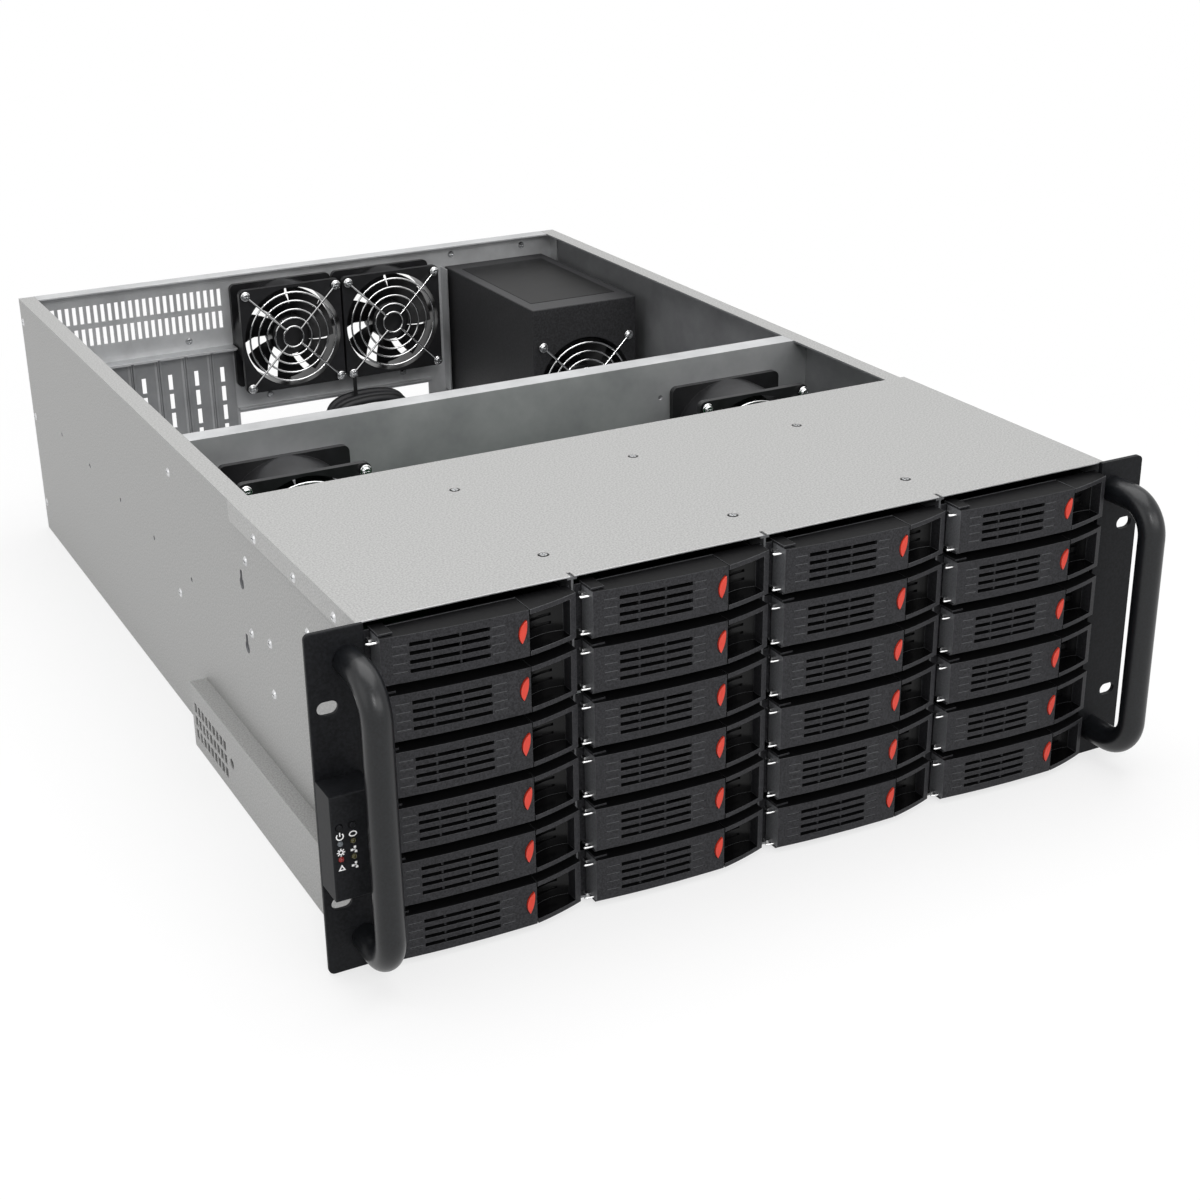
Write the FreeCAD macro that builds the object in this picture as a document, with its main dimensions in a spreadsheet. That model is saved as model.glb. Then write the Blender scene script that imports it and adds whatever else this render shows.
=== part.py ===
import FreeCAD, Part
import Sketcher
import math
import os
from FreeCAD import Placement, Rotation, Vector

# Rackmount server case, four rack units high, with 24 drive trays in front and an open rear bay.
# X runs to the right seen from the front, Y runs to the rear, Z runs up. Lengths are millimetres.
# Every piece is drawn with Y = 0 on the front face of the rack ears, then moved by frontY so
# that the origin lies under the middle of the whole case.

COLUMNS = 4
SLOT_COVERS = 7
SLOT_COVER_HOLES = 6
VENT_COLUMNS = 25
FAN_BLADES = 7
GUARD_RINGS = 5
CHANNEL_MESH_COLUMNS = 9
CHANNEL_MESH_ROWS = 3
PILOT_HOLES = 5
POCKET_SLITS = 3
VENT_ROWS = 4
VENT_RIBS = 2
PSU_VENTS = 12
COLUMN_NAMES = ("a", "b", "c", "d")

SIZES = {
    # rack panel and body
    "panel_width": 482.6,
    "panel_height": 177.0,
    "ear_thick": 2.5,
    "ear_overlap": 2.0,
    "ear_corner": 3.0,
    "rack_slot_spacing_x": 465.0,
    "rack_slot_spacing_z": 101.6,
    "rack_slot_length": 10.2,
    "rack_slot_width": 6.8,
    "body_width": 430.0,
    "chassis_depth": 660.0,
    "sheet": 1.2,
    "cover_sheet": 1.0,
    "top_flange": 11.0,
    "cover_length": 183.0,
    "cover_flange": 12.0,
    "cover_screw_front": 33.0,
    "cover_screw_back": 137.0,
    "cover_slit_width": 2.0,
    "cover_slit_length": 5.0,
    "keyhole_y": 173.0,
    "keyhole_low": 96.0,
    "keyhole_rise": 37.0,
    "keyhole_radius": 3.4,
    "keyhole_neck": 1.7,
    "keyhole_reach": 4.2,
    "pilot_radius": 1.5,
    "pilot_height": 99.0,
    "pilot_first_y": 271.0,
    "pilot_pitch": 75.0,
    "fold_clearance": 0.1,
    # handles
    "handle_reach": 40.0,
    "handle_bar": 14.4,
    "handle_offset": 221.8,
    "handle_span": 145.0,
    "handle_bend": 18.0,
    # control box on the left ear
    "box_inner_edge": 219.0,
    "box_bottom": 50.0,
    "box_height": 54.5,
    "box_depth": 18.0,
    "box_edge": 1.0,
    "button_radius": 1.5,
    "button_length": 4.0,
    "button_proud": 0.6,
    "button_clearance": 0.3,
    "button_travel": 1.5,
    "button_drop": 16.0,
    "lamp_radius": 1.4,
    "lamp_length": 3.0,
    "lamp_proud": 0.8,
    "lamp_clearance": 0.05,
    "lamp_drop": 24.4,
    "lamp_pitch": 8.1,
    "panel_column_inset": 3.8,
    "panel_column_pitch": 6.3,
    # side channel
    "channel_out": 10.0,
    "channel_height": 41.0,
    "channel_end": 261.0,
    "mesh_hole_length": 4.6,
    "mesh_hole_height": 6.0,
    "mesh_pitch_y": 6.6,
    "mesh_pitch_z": 8.4,
    "mesh_bottom": 7.0,
    "mesh_inset": 5.0,
    "channel_hole": 3.0,
    "channel_hole_inset": 9.0,
    # drive trays
    "bay_pitch": 107.0,
    "row_pitch": 29.0,
    "row_top_gap": 5.2,
    "tray_height": 23.3,
    "tray_width": 104.2,
    "tray_length": 168.0,
    "tray_wall": 1.2,
    "tray_side_above": 8.0,
    "tray_front_y": 3.6,
    "tray_front_thick": 1.4,
    "tray_floor_border": 18.0,
    "lever_start": 4.6,
    "lever_root_y": 2.5,
    "lever_root_width": 8.4,
    "lever_reach_left": 9.0,
    "lever_reach_seam": 12.5,
    "lever_bow": 1.2,
    "lever_thick": 5.0,
    "lever_wall": 1.6,
    "seam_at": 77.0,
    "seam_gap": 0.6,
    "pocket_end": 104.6,
    "pocket_reach_right": 5.0,
    "pocket_rim": 2.4,
    "pocket_floor_y": 1.2,
    "pocket_sweep": 4.0,
    "pocket_frame": 3.6,
    "slit_start": 83.0,
    "slit_length": 12.0,
    "slit_height": 1.4,
    "claw_start": 1.6,
    "claw_front": 3.2,
    "claw_thick": 1.3,
    "claw_high": 8.4,
    "claw_low": 10.8,
    "hinge_at": 8.0,
    "hinge_y": 4.5,
    "hinge_pin_radius": 1.2,
    "hinge_clearance": 0.1,
    "lug_thick": 1.0,
    "lug_gap": 0.3,
    "lug_half": 3.6,
    "lug_reach": 7.2,
    "vent_start": 18.0,
    "vent_length": 39.0,
    "vent_slot": 2.0,
    "vent_pitch": 4.4,
    "vent_rib_first": 10.5,
    "vent_rib_pitch": 14.0,
    "vent_rib_width": 0.9,
    "vent_rib_recess": 1.2,
    "groove_gap": 0.8,
    "groove_length": 7.0,
    "groove_width": 0.7,
    "groove_depth": 0.5,
    "latch_height": 11.4,
    "latch_bulge_left": 2.7,
    "latch_bulge_right": 1.0,
    "latch_lean": 2.6,
    "latch_at": 74.0,
    "latch_drop": 10.5,
    "latch_proud": 1.0,
    "latch_length": 5.4,
    "latch_clearance": 0.3,
    # drive cage and backplane
    "cage_start": 3.0,
    "guide_start": 5.3,
    "guide_width": 2.5,
    "guide_thick": 1.3,
    "guide_clearance": 0.2,
    "cage_side_sheet": 0.8,
    "cage_top_flange": 5.0,
    "backplane_gap": 6.0,
    "backplane_thick": 1.6,
    "backplane_border": 3.0,
    "connector_width": 42.0,
    "connector_height": 6.0,
    "connector_drop": 6.6,
    "board_air_height": 9.0,
    # middle wall
    "mid_wall_y": 287.0,
    "mid_wall_flange": 14.0,
    "mid_wall_foot": 20.0,
    "mid_fan_offset": 150.0,
    "mid_fan_height": 119.0,
    "mid_fan_depth": 38.0,
    "mid_hole_gap": 7.0,
    "mid_hole_rise": 34.0,
    # rear wall
    "rear_flange": 12.0,
    "fence_gap": 2.3,
    "fence_bottom": 58.0,
    "vent_left_x": 194.0,
    "vent_grid_pitch": 5.2,
    "vent_grid_width": 2.8,
    "vent_grid_height": 13.0,
    "vent_grid_bottom": 134.0,
    "vent_grid_row": 17.0,
    "rail_height": 120.0,
    "rail_depth": 12.0,
    "slot_pitch": 20.32,
    "slot_last_x": 70.6,
    "slot_open_width": 14.0,
    "slot_cover_width": 18.4,
    "slot_cover_bottom": 10.0,
    "slot_cover_sheet": 0.9,
    "slot_rib_width": 1.4,
    "slot_hole_width": 3.2,
    "slot_hole_height": 11.5,
    "slot_hole_pitch": 15.0,
    "slot_hole_bottom": 17.0,
    "fan_lip_height": 68.0,
    "fan_lip_depth": 4.0,
    "io_left_x": 59.0,
    "io_width": 158.75,
    "io_height": 55.0,
    "io_bottom": 10.0,
    # fans
    "fan_size": 80.0,
    "fan_hole_spacing": 71.5,
    "fan_duct": 76.0,
    "fan_flange": 4.0,
    "fan_corner": 4.0,
    "rear_fan_depth": 25.0,
    "rear_fan_left_x": 20.0,
    "rear_fan_pitch": 81.6,
    "rear_fan_height": 126.5,
    "stator_disc": 15.0,
    "strut_width": 5.0,
    "rotor_hub": 15.0,
    "rotor_length": 17.0,
    "rotor_tip": 35.5,
    "rotor_gap": 0.3,
    "blade_root": 12.0,
    "blade_chord_y": 7.0,
    "blade_chord_z": 9.0,
    "blade_camber": 2.6,
    "blade_thick": 1.4,
    "guard_wire": 1.4,
    "guard_ring_first": 8.0,
    "guard_ring_pitch": 6.6,
    "guard_loop": 3.4,
    "screw_head": 2.8,
    "screw_head_height": 1.6,
    "side_screw_height": 0.8,
    "flange_screw_drop": 7.0,
    "mid_screw_inset": 11.0,
    "rear_screw_inset": 7.0,
    # power supply
    "psu_width": 86.0,
    "psu_height": 150.0,
    "psu_depth": 158.0,
    "psu_side_gap": 8.6,
    "psu_bottom": 8.0,
    "psu_fan_height": 94.0,
    "psu_fan_depth": 26.0,
    "psu_window_border": 6.0,
    "inlet_width": 27.0,
    "inlet_height": 20.0,
    "inlet_depth": 16.0,
    "inlet_bottom": 18.0,
    "psu_vent_width": 2.6,
    "psu_vent_height": 56.0,
    "psu_vent_bottom": 70.0,
    "psu_vent_depth": 4.0,
    # cable hank
    "cable_radius": 3.0,
    "cable_exit_inset": 17.2,
    "cable_exit_height": 30.0,
    "hank_left_x": 0.0,
    "hank_width": 74.0,
    "hank_depth": 30.0,
    "hank_bottom": 34.0,
    "hank_height": 42.0,
    "hank_bulge": 16.0,
    "hank_round": 2.9,
    "hank_under_fan": 11.0,
    "tie_radius": 0.7,
}

doc = FreeCAD.newDocument("rack_case")
sheet = doc.addObject("Spreadsheet::Sheet", "Sizes")
for row, (name, value) in enumerate(SIZES.items(), 1):
    sheet.set(f"A{row}", name)
    sheet.set(f"B{row}", str(value))
    sheet.setAlias(f"B{row}", name)
doc.recompute()


class Size:
    """A length that carries its sheet expression and its value side by side."""

    def __init__(self, text, value):
        self.text = text
        self.value = float(value)

    def join(self, mark, other, value):
        return Size(f"({self.text} {mark} {of(other).text})", value)

    def __add__(self, other):
        return self.join("+", other, self.value + of(other).value)

    def __radd__(self, other):
        return of(other) + self

    def __sub__(self, other):
        return self.join("-", other, self.value - of(other).value)

    def __rsub__(self, other):
        return of(other) - self

    def __mul__(self, other):
        return self.join("*", other, self.value * of(other).value)

    def __rmul__(self, other):
        return of(other) * self

    def __truediv__(self, other):
        return self.join("/", other, self.value / of(other).value)

    def __neg__(self):
        return self * -1


def of(number):
    return number if isinstance(number, Size) else Size(repr(float(number)), number)


class Sheet:
    """Gives each cell of the sheet as a Size, by its alias."""

    def __getattr__(self, alias):
        return Size(f"Sizes.{alias}", SIZES[alias])


S = Sheet()
nodes = []


def bind(item, path, size):
    item.setExpression(path, of(size).text)


def move(item, x=0, y=0, z=0):
    for letter, size in zip("xyz", (x, y, z)):
        bind(item, f"Placement.Base.{letter}", size)
    return item


# Solids and joins of solids

def box(name, x, y, z):
    item = doc.addObject("Part::Box", name)
    for path, span in zip(("Length", "Width", "Height"), (x, y, z)):
        bind(item, path, of(span[1]) - span[0])
    return move(item, x[0], y[0], z[0])


def rod(name, radius, length, place, turn=None):
    item = doc.addObject("Part::Cylinder", name)
    bind(item, "Radius", radius)
    bind(item, "Height", length)
    if turn:
        item.Placement = Placement(Vector(), turn)
    return move(item, *place)


ALONG_Y = Rotation(Vector(1, 0, 0), -90)
ALONG_X = Rotation(Vector(0, 1, 0), 90)


def fuse(name, shapes):
    item = doc.addObject("Part::MultiFuse", name)
    item.Shapes = shapes
    return item


def group(name, shapes):
    item = doc.addObject("Part::Compound", name)
    item.Links = shapes
    return item


def cut(name, base, tools):
    item = doc.addObject("Part::Cut", name)
    item.Base = base
    item.Tool = tools[0] if len(tools) == 1 else group(name + "_cuts", tools)
    return item


def copyAt(name, master, x=0, y=0, z=0):
    return move(group(name, [master]), x, y, z)


# Bodies made from sketches

def makeBody(name):
    return doc.addObject("PartDesign::Body", name)


def origin(body, role):
    return next(f for f in body.Origin.OriginFeatures if f.Role == role)


def sketchOn(body, name, role, offset=0):
    sketch = body.newObject("Sketcher::SketchObject", name)
    sketch.AttachmentSupport = [(origin(body, role), "")]
    sketch.MapMode = "FlatFace"
    bind(sketch, "AttachmentOffset.Base.z", offset)
    return sketch


def pin(sketch, geometry, point, x, y):
    for kind, size in (("DistanceX", of(x)), ("DistanceY", of(y))):
        index = sketch.addConstraint(Sketcher.Constraint(kind, -1, 1, geometry, point, size.value))
        bind(sketch, f"Constraints[{index}]", size)


def arcRadius(start, end, bulge):
    across, up = of(end[0]) - start[0], of(end[1]) - start[1]
    return ((across * across + up * up) / 4 + of(bulge) * bulge) / (of(bulge) * 2)


def addArc(sketch, start, end, bulge):
    # A positive bulge lies to the right of the way from start to end, a negative one to the left.
    radius = arcRadius(start, end, -bulge if bulge.value < 0 else bulge)
    a = Vector(of(start[0]).value, of(start[1]).value)
    b = Vector(of(end[0]).value, of(end[1]).value)
    along = (b - a).normalize()
    right = Vector(along.y, -along.x)
    side = 1 if bulge.value > 0 else -1
    centre = (a + b) * 0.5 + right * side * (abs(bulge.value) - radius.value)
    first, last = (a, b) if side > 0 else (b, a)
    angles = [math.atan2(p.y - centre.y, p.x - centre.x) for p in (first, last)]
    if angles[1] < angles[0]:
        angles[1] += 2 * math.pi
    circle = Part.Circle(centre, Vector(0, 0, 1), radius.value)
    index = sketch.addGeometry(Part.ArcOfCircle(circle, *angles))
    return index, (1, 2) if side > 0 else (2, 1), radius


def outline(sketch, points):
    # A point is (x, y), or (x, y, bulge) where the edge that leaves it is an arc.
    edges = []
    for here, there in zip(points, points[1:] + points[:1]):
        if len(here) == 3:
            edges.append(addArc(sketch, here, there, of(here[2])))
        else:
            ends = [Vector(of(p[0]).value, of(p[1]).value) for p in (here, there)]
            edges.append((sketch.addGeometry(Part.LineSegment(*ends)), (1, 2), None))
    for (index, ends, _), (after, others, _) in zip(edges, edges[1:] + edges[:1]):
        sketch.addConstraint(Sketcher.Constraint("Coincident", index, ends[1], after, others[0]))
    for (index, ends, radius), here in zip(edges, points):
        pin(sketch, index, ends[0], here[0], here[1])
        if radius:
            held = sketch.addConstraint(Sketcher.Constraint("Radius", index, radius.value))
            bind(sketch, f"Constraints[{held}]", radius)
    return sketch


def rectangle(sketch, x, y):
    return outline(sketch, [(x[0], y[0]), (x[1], y[0]), (x[1], y[1]), (x[0], y[1])])


def circle(sketch, x, y, radius):
    shape = Part.Circle(Vector(of(x).value, of(y).value), Vector(0, 0, 1), of(radius).value)
    index = sketch.addGeometry(shape)
    pin(sketch, index, 3, x, y)
    held = sketch.addConstraint(Sketcher.Constraint("Radius", index, of(radius).value))
    bind(sketch, f"Constraints[{held}]", radius)
    return sketch


def pad(body, sketch, length, backward=False, midplane=False):
    feature = body.newObject("PartDesign::Pad", sketch.Name + "_pad")
    feature.Profile = sketch
    bind(feature, "Length", length)
    feature.Reversed = backward
    feature.Midplane = midplane
    return feature


def pocketThrough(body, sketch):
    feature = body.newObject("PartDesign::Pocket", sketch.Name + "_cut")
    feature.Profile = sketch
    feature.Type = "ThroughAll"
    feature.Midplane = True
    return feature


def pocket(body, sketch, depth, backward=False):
    feature = body.newObject("PartDesign::Pocket", sketch.Name + "_cut")
    feature.Profile = sketch
    bind(feature, "Length", depth)
    feature.Reversed = backward
    return feature


def repeat(body, feature, axis, pitch, count):
    pattern = body.newObject("PartDesign::LinearPattern", feature.Name + "_row")
    pattern.Originals = [feature]
    pattern.Direction = (origin(body, axis), [""])
    bind(pattern, "Length", of(pitch) * (count - 1))
    pattern.Occurrences = count
    body.Tip = pattern
    return pattern


def roundEdges(body, feature, radius, chosen):
    doc.recompute()
    fillet = body.newObject("PartDesign::Fillet", feature.Name + "_round")
    names = [f"Edge{i}" for i, edge in enumerate(feature.Shape.Edges, 1) if chosen(edge)]
    fillet.Base = (feature, names)
    bind(fillet, "Radius", radius)
    return fillet


def along(edge, axis):
    if edge.Curve.TypeId != "Part::GeomLine":
        return False
    return abs(edge.Curve.Direction.dot(axis)) > 0.999


frontY = -(S.chassis_depth - S.handle_reach) / 2


def node(label, pieces, x=0, y=0, z=0):
    item = doc.addObject("Part::Compound", "node_" + label)
    item.Label = label
    item.Links = pieces
    move(item, x, of(y) + frontY, z)
    nodes.append(item)
    return item


# Shared places

halfBody = S.body_width / 2
bodyTop = S.panel_height - S.cover_sheet
rearInside = S.chassis_depth - S.sheet
halfTray = S.tray_height / 2
topRowHeight = S.panel_height - S.row_top_gap - halfTray
firstBay = -S.bay_pitch * COLUMNS / 2
guideLow = -halfTray - S.guide_clearance
psuLeft = halfBody - S.sheet * 2 - S.psu_side_gap - S.psu_width
cageEnd = S.tray_front_y + S.tray_front_thick + S.tray_length + S.backplane_gap


def bayLeft(column):
    return firstBay + S.bay_pitch * column


def rowHeight(row):
    return topRowHeight - S.row_pitch * row


# As many rows as find room above the floor.
ROWS = 1 + int((topRowHeight + guideLow - S.guide_thick - S.sheet).value // S.row_pitch.value)


# Sheet metal body

def makeTub():
    body = makeBody("tub")
    inside, lip = halfBody - S.sheet, halfBody - S.top_flange
    underLip = bodyTop - S.sheet
    right = [(halfBody, 0), (halfBody, bodyTop), (lip, bodyTop), (lip, underLip), (inside, underLip),
             (inside, S.sheet)]
    left = [(-x, z) for x, z in reversed(right)]
    sketch = outline(sketchOn(body, "tub_profile", "XZ_Plane", -S.ear_thick), right + left)
    pad(body, sketch, rearInside - S.ear_thick, backward=True)
    # The bay cover lies on the bare edges of the sides, so their flanges start behind it.
    bayMouth = sketchOn(body, "tub_bay_mouth", "XY_Plane", bodyTop)
    for edges in ((-inside, -lip), (lip, inside)):
        rectangle(bayMouth, edges, (S.ear_thick, S.cover_length))
    pocket(body, bayMouth, S.sheet)
    addSideHoles(body)
    node("chassis_tub", [body])


def addSideHoles(body):
    rounds, necks = [sketchOn(body, "side_" + name, "YZ_Plane") for name in ("holes", "necks")]
    for level in range(2):
        z = S.keyhole_low + S.keyhole_rise * level
        circle(rounds, S.keyhole_y, z, S.keyhole_radius)
        rectangle(necks, (S.keyhole_y - S.keyhole_neck, S.keyhole_y + S.keyhole_neck),
                  (z, z + S.keyhole_radius + S.keyhole_reach))
    for index in range(PILOT_HOLES):
        circle(rounds, S.pilot_first_y + S.pilot_pitch * index, S.pilot_height, S.pilot_radius)
    pocketThrough(body, rounds)
    pocketThrough(body, necks)


def makeCover():
    body = makeBody("cover")
    inner = halfBody + S.fold_clearance
    outer = inner + S.cover_sheet
    low = S.panel_height - S.cover_flange
    right = [(outer, low), (outer, S.panel_height)]
    inside = [(inner, bodyTop), (inner, low)]
    ring = right + [(-x, z) for x, z in reversed(right)]
    ring += [(-x, z) for x, z in reversed(inside)] + inside
    sketch = outline(sketchOn(body, "cover_profile", "XZ_Plane", -S.ear_thick), ring)
    pad(body, sketch, S.cover_length - S.ear_thick, backward=True)
    holes = sketchOn(body, "cover_screw_holes", "XY_Plane")
    for x, y in coverScrewPlaces():
        circle(holes, x, y, S.screw_head + S.fold_clearance)
    pocketThrough(body, holes)
    slits = sketchOn(body, "cover_relief_slits", "XY_Plane")
    half = S.cover_slit_width / 2
    for column in (-1, 0, 1):
        x = S.bay_pitch * column
        rectangle(slits, (x - half, x + half), (S.ear_thick, S.ear_thick + S.cover_slit_length))
    pocketThrough(body, slits)
    node("drive_bay_cover", [body])


def coverScrewPlaces():
    depths = (S.cover_screw_front, S.cover_screw_back)
    return [(S.bay_pitch * column, y) for column in (-1, 0, 1) for y in depths]


def makeMidWall():
    body = makeBody("mid_wall_sheet")
    front, back = S.mid_wall_y, S.mid_wall_y + S.mid_wall_flange
    inner = S.mid_wall_y + S.sheet
    profile = [(front, S.sheet), (back, S.sheet), (back, S.sheet * 2), (inner, S.sheet * 2),
               (inner, bodyTop - S.sheet), (back, bodyTop - S.sheet), (back, bodyTop), (front, bodyTop)]
    width = (halfBody - S.top_flange - S.fold_clearance) * 2
    pad(body, outline(sketchOn(body, "mid_profile", "YZ_Plane"), profile), width, midplane=True)
    holes = sketchOn(body, "mid_openings", "XZ_Plane")
    for side in (-1, 1):
        circle(holes, S.mid_fan_offset * side, S.mid_fan_height, S.fan_duct / 2)
        circle(holes, S.mid_fan_offset * side - S.fan_size / 2 - S.mid_hole_gap,
               S.mid_fan_height + S.mid_hole_rise, S.pilot_radius)
    pocketThrough(body, holes)
    node("mid_wall", [fuse("mid_wall_whole", [body] + makeMidWallEnd(-1) + makeMidWallEnd(1))])


def makeMidWallEnd(side):
    # The sheet reaches out to the side panels below their turned-in top flanges.
    inner = (halfBody - S.top_flange - S.fold_clearance) * side
    outer = (halfBody - S.sheet) * side
    span = (inner, outer) if side > 0 else (outer, inner)
    wall = (S.mid_wall_y, S.mid_wall_y + S.sheet)
    high = (S.sheet, bodyTop - S.sheet - S.fold_clearance)
    return [box("mid_wall_end", span, wall, high),
            box("mid_wall_foot", sideStrip(side), (S.mid_wall_y, S.mid_wall_y + S.mid_wall_foot), high)]


def sideStrip(side):
    inner, outer = (halfBody - S.sheet * 2) * side, (halfBody - S.sheet) * side
    return (inner, outer) if side > 0 else (outer, inner)


def makeRearPanel():
    body = makeBody("rear_sheet")
    flangeY = S.chassis_depth - S.rear_flange
    top = bodyTop - S.sheet
    profile = [(rearInside, 0), (S.chassis_depth, 0), (S.chassis_depth, bodyTop), (flangeY, bodyTop),
               (flangeY, top), (rearInside, top)]
    width = (halfBody - S.top_flange - S.fold_clearance) * 2
    pad(body, outline(sketchOn(body, "rear_profile", "YZ_Plane"), profile), width, midplane=True)
    makeRearOpenings(body)
    grid = sketchOn(body, "rear_vents", "XZ_Plane")
    for row in range(2):
        low = S.vent_grid_bottom + S.vent_grid_row * row
        rectangle(grid, (-S.vent_left_x, S.vent_grid_width - S.vent_left_x), (low, low + S.vent_grid_height))
    repeat(body, pocketThrough(body, grid), "X_Axis", S.vent_grid_pitch, VENT_COLUMNS)
    railEnds = (-S.slot_pitch * (SLOT_COVERS - 0.5) - S.slot_last_x, S.slot_pitch / 2 - S.slot_last_x)
    rail = box("slot_rail", railEnds, (rearInside - S.rail_depth, rearInside),
               (S.rail_height - S.sheet, S.rail_height))
    fenceX = psuLeft - S.fence_gap
    fence = box("psu_fence", (fenceX - S.sheet, fenceX), (flangeY, rearInside),
                (S.fence_bottom, S.psu_bottom + S.psu_height))
    # A folded lip below the fans stiffens the panel above the connector opening.
    fansLeft, fansRight = rearFanX(0) - S.fan_size / 2, rearFanX(1) + S.fan_size / 2
    lip = box("fan_lip", (fansLeft, fansRight), (rearInside - S.fan_lip_depth, rearInside),
              (S.fan_lip_height, S.fan_lip_height + S.sheet))
    margin = (halfBody - S.top_flange - S.fold_clearance, halfBody)
    wall = (rearInside, S.chassis_depth)
    edges = [box("rear_edge_right", margin, wall, (0, bodyTop)),
             box("rear_edge_left", (-margin[1], -margin[0]), wall, (0, bodyTop))]
    high = (S.sheet, bodyTop - S.sheet - S.fold_clearance)
    feet = [box("rear_foot", sideStrip(side), (flangeY, rearInside), high) for side in (-1, 1)]
    node("rear_panel", [fuse("rear_panel_whole", [body, rail, fence, lip] + edges + feet)])


def makeRearOpenings(body):
    holes = sketchOn(body, "rear_openings", "XZ_Plane")
    for index in range(2):
        circle(holes, rearFanX(index), S.rear_fan_height, S.fan_duct / 2)
    rectangle(holes, (-S.io_left_x, S.io_width - S.io_left_x), (S.io_bottom, S.io_bottom + S.io_height))
    inset = S.psu_window_border
    rectangle(holes, (psuLeft + inset, psuLeft + S.psu_width - inset),
              (S.psu_bottom + inset, S.psu_bottom + S.psu_height - inset))
    for index in range(SLOT_COVERS):
        middle = slotX(index)
        half = S.slot_open_width / 2
        low = S.slot_cover_bottom + S.sheet * 2
        rectangle(holes, (middle - half, middle + half), (low, S.rail_height - S.sheet * 4))
    pocketThrough(body, holes)


def slotX(index):
    return -S.slot_last_x - S.slot_pitch * index


def makeSlotCovers():
    body = makeBody("slot_cover")
    back = rearInside
    front = back - S.slot_cover_sheet
    top = S.rail_height - S.sheet
    plate = outline(sketchOn(body, "slot_plate", "YZ_Plane"),
                    [(front, S.slot_cover_bottom), (back, S.slot_cover_bottom), (back, top), (front, top)])
    pad(body, plate, S.slot_cover_width, midplane=True)
    hole = rectangle(sketchOn(body, "slot_hole", "XZ_Plane"),
                     (-S.slot_hole_width / 2, S.slot_hole_width / 2),
                     (S.slot_hole_bottom, S.slot_hole_bottom + S.slot_hole_height))
    repeat(body, pocketThrough(body, hole), "Z_Axis", S.slot_hole_pitch, SLOT_COVER_HOLES)
    half = S.slot_cover_width / 2
    tab = box("slot_tab", (-half, half), (back - S.rail_depth, back), (top - S.slot_cover_sheet, top))
    rib = box("slot_rib", (S.slot_rib_width - half, S.slot_rib_width * 2 - half),
              (front - S.slot_rib_width, front), (S.slot_cover_bottom, top - S.slot_cover_sheet))
    whole = fuse("slot_cover_whole", [body, tab, rib])
    covers = [copyAt(f"slot_cover_{i}", whole, slotX(i)) for i in range(SLOT_COVERS)]
    node("slot_covers", covers)


def makeSideChannel():
    body = makeBody("channel")
    outer, inner = -halfBody - S.channel_out, -halfBody
    profile = [(inner, 0), (outer, 0), (outer, S.channel_height), (inner, S.channel_height),
               (inner, S.channel_height - S.sheet), (outer + S.sheet, S.channel_height - S.sheet),
               (outer + S.sheet, S.sheet), (inner, S.sheet)]
    sketch = outline(sketchOn(body, "channel_profile", "XZ_Plane", -S.ear_thick), profile)
    pad(body, sketch, S.channel_end - S.ear_thick, backward=True)
    holes = sketchOn(body, "channel_mesh", "YZ_Plane", -halfBody - S.channel_out)
    first = S.channel_end - S.mesh_inset - S.mesh_hole_length - S.mesh_pitch_y * (CHANNEL_MESH_COLUMNS - 1)
    for level in range(CHANNEL_MESH_ROWS):
        low = S.mesh_bottom + S.mesh_pitch_z * level
        rectangle(holes, (first, first + S.mesh_hole_length), (low, low + S.mesh_hole_height))
    mesh = pocket(body, holes, S.sheet * 2, backward=True)
    repeat(body, mesh, "Y_Axis", S.mesh_pitch_y, CHANNEL_MESH_COLUMNS)
    lead = sketchOn(body, "channel_lead_hole", "YZ_Plane", -halfBody - S.channel_out)
    circle(lead, first - S.channel_hole_inset, S.channel_height / 2, S.channel_hole)
    pocket(body, lead, S.sheet * 2, backward=True)
    node("side_channel", [body])


# Rack ears, handles and control box

def makeEar(label, side):
    body = makeBody(label + "_plate")
    inner, outer = (halfBody - S.ear_overlap) * side, S.panel_width / 2 * side
    span = (inner, outer) if side > 0 else (outer, inner)
    plate = pad(body, rectangle(sketchOn(body, label + "_face", "XZ_Plane"), span, (0, S.panel_height)),
                S.ear_thick, backward=True)
    edge = S.panel_width / 2 * side
    roundEdges(body, plate, S.ear_corner,
               lambda e: along(e, Vector(0, 1, 0)) and abs(e.CenterOfMass.x - edge.value) < 0.01)
    slots = sketchOn(body, label + "_slots", "XZ_Plane")
    x = S.rack_slot_spacing_x / 2 * side
    for level in (-1, 1):
        addSlot(slots, x, S.panel_height / 2 + S.rack_slot_spacing_z / 2 * level)
    pocketThrough(body, slots)
    node(label, [body])


def addSlot(sketch, x, z):
    radius = S.rack_slot_width / 2
    reach = S.rack_slot_length / 2 - radius
    left, right = x - reach, x + reach
    low, high = (z - radius).value, (z + radius).value
    centres = [Vector(right.value, z.value), Vector(left.value, z.value)]
    turns = [(-math.pi / 2, math.pi / 2), (math.pi / 2, 3 * math.pi / 2)]
    arcs = [sketch.addGeometry(Part.ArcOfCircle(Part.Circle(c, Vector(0, 0, 1), radius.value), *t))
            for c, t in zip(centres, turns)]
    upper = sketch.addGeometry(Part.LineSegment(Vector(right.value, high), Vector(left.value, high)))
    lower = sketch.addGeometry(Part.LineSegment(Vector(left.value, low), Vector(right.value, low)))
    for first, second in ((arcs[0], upper), (upper, arcs[1]), (arcs[1], lower), (lower, arcs[0])):
        sketch.addConstraint(Sketcher.Constraint("Tangent", first, 2, second, 1))
    for arc, middle in zip(arcs, (right, left)):
        pin(sketch, arc, 3, middle, z)
    held = sketch.addConstraint(Sketcher.Constraint("Radius", arcs[0], radius.value))
    bind(sketch, f"Constraints[{held}]", radius)


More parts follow.
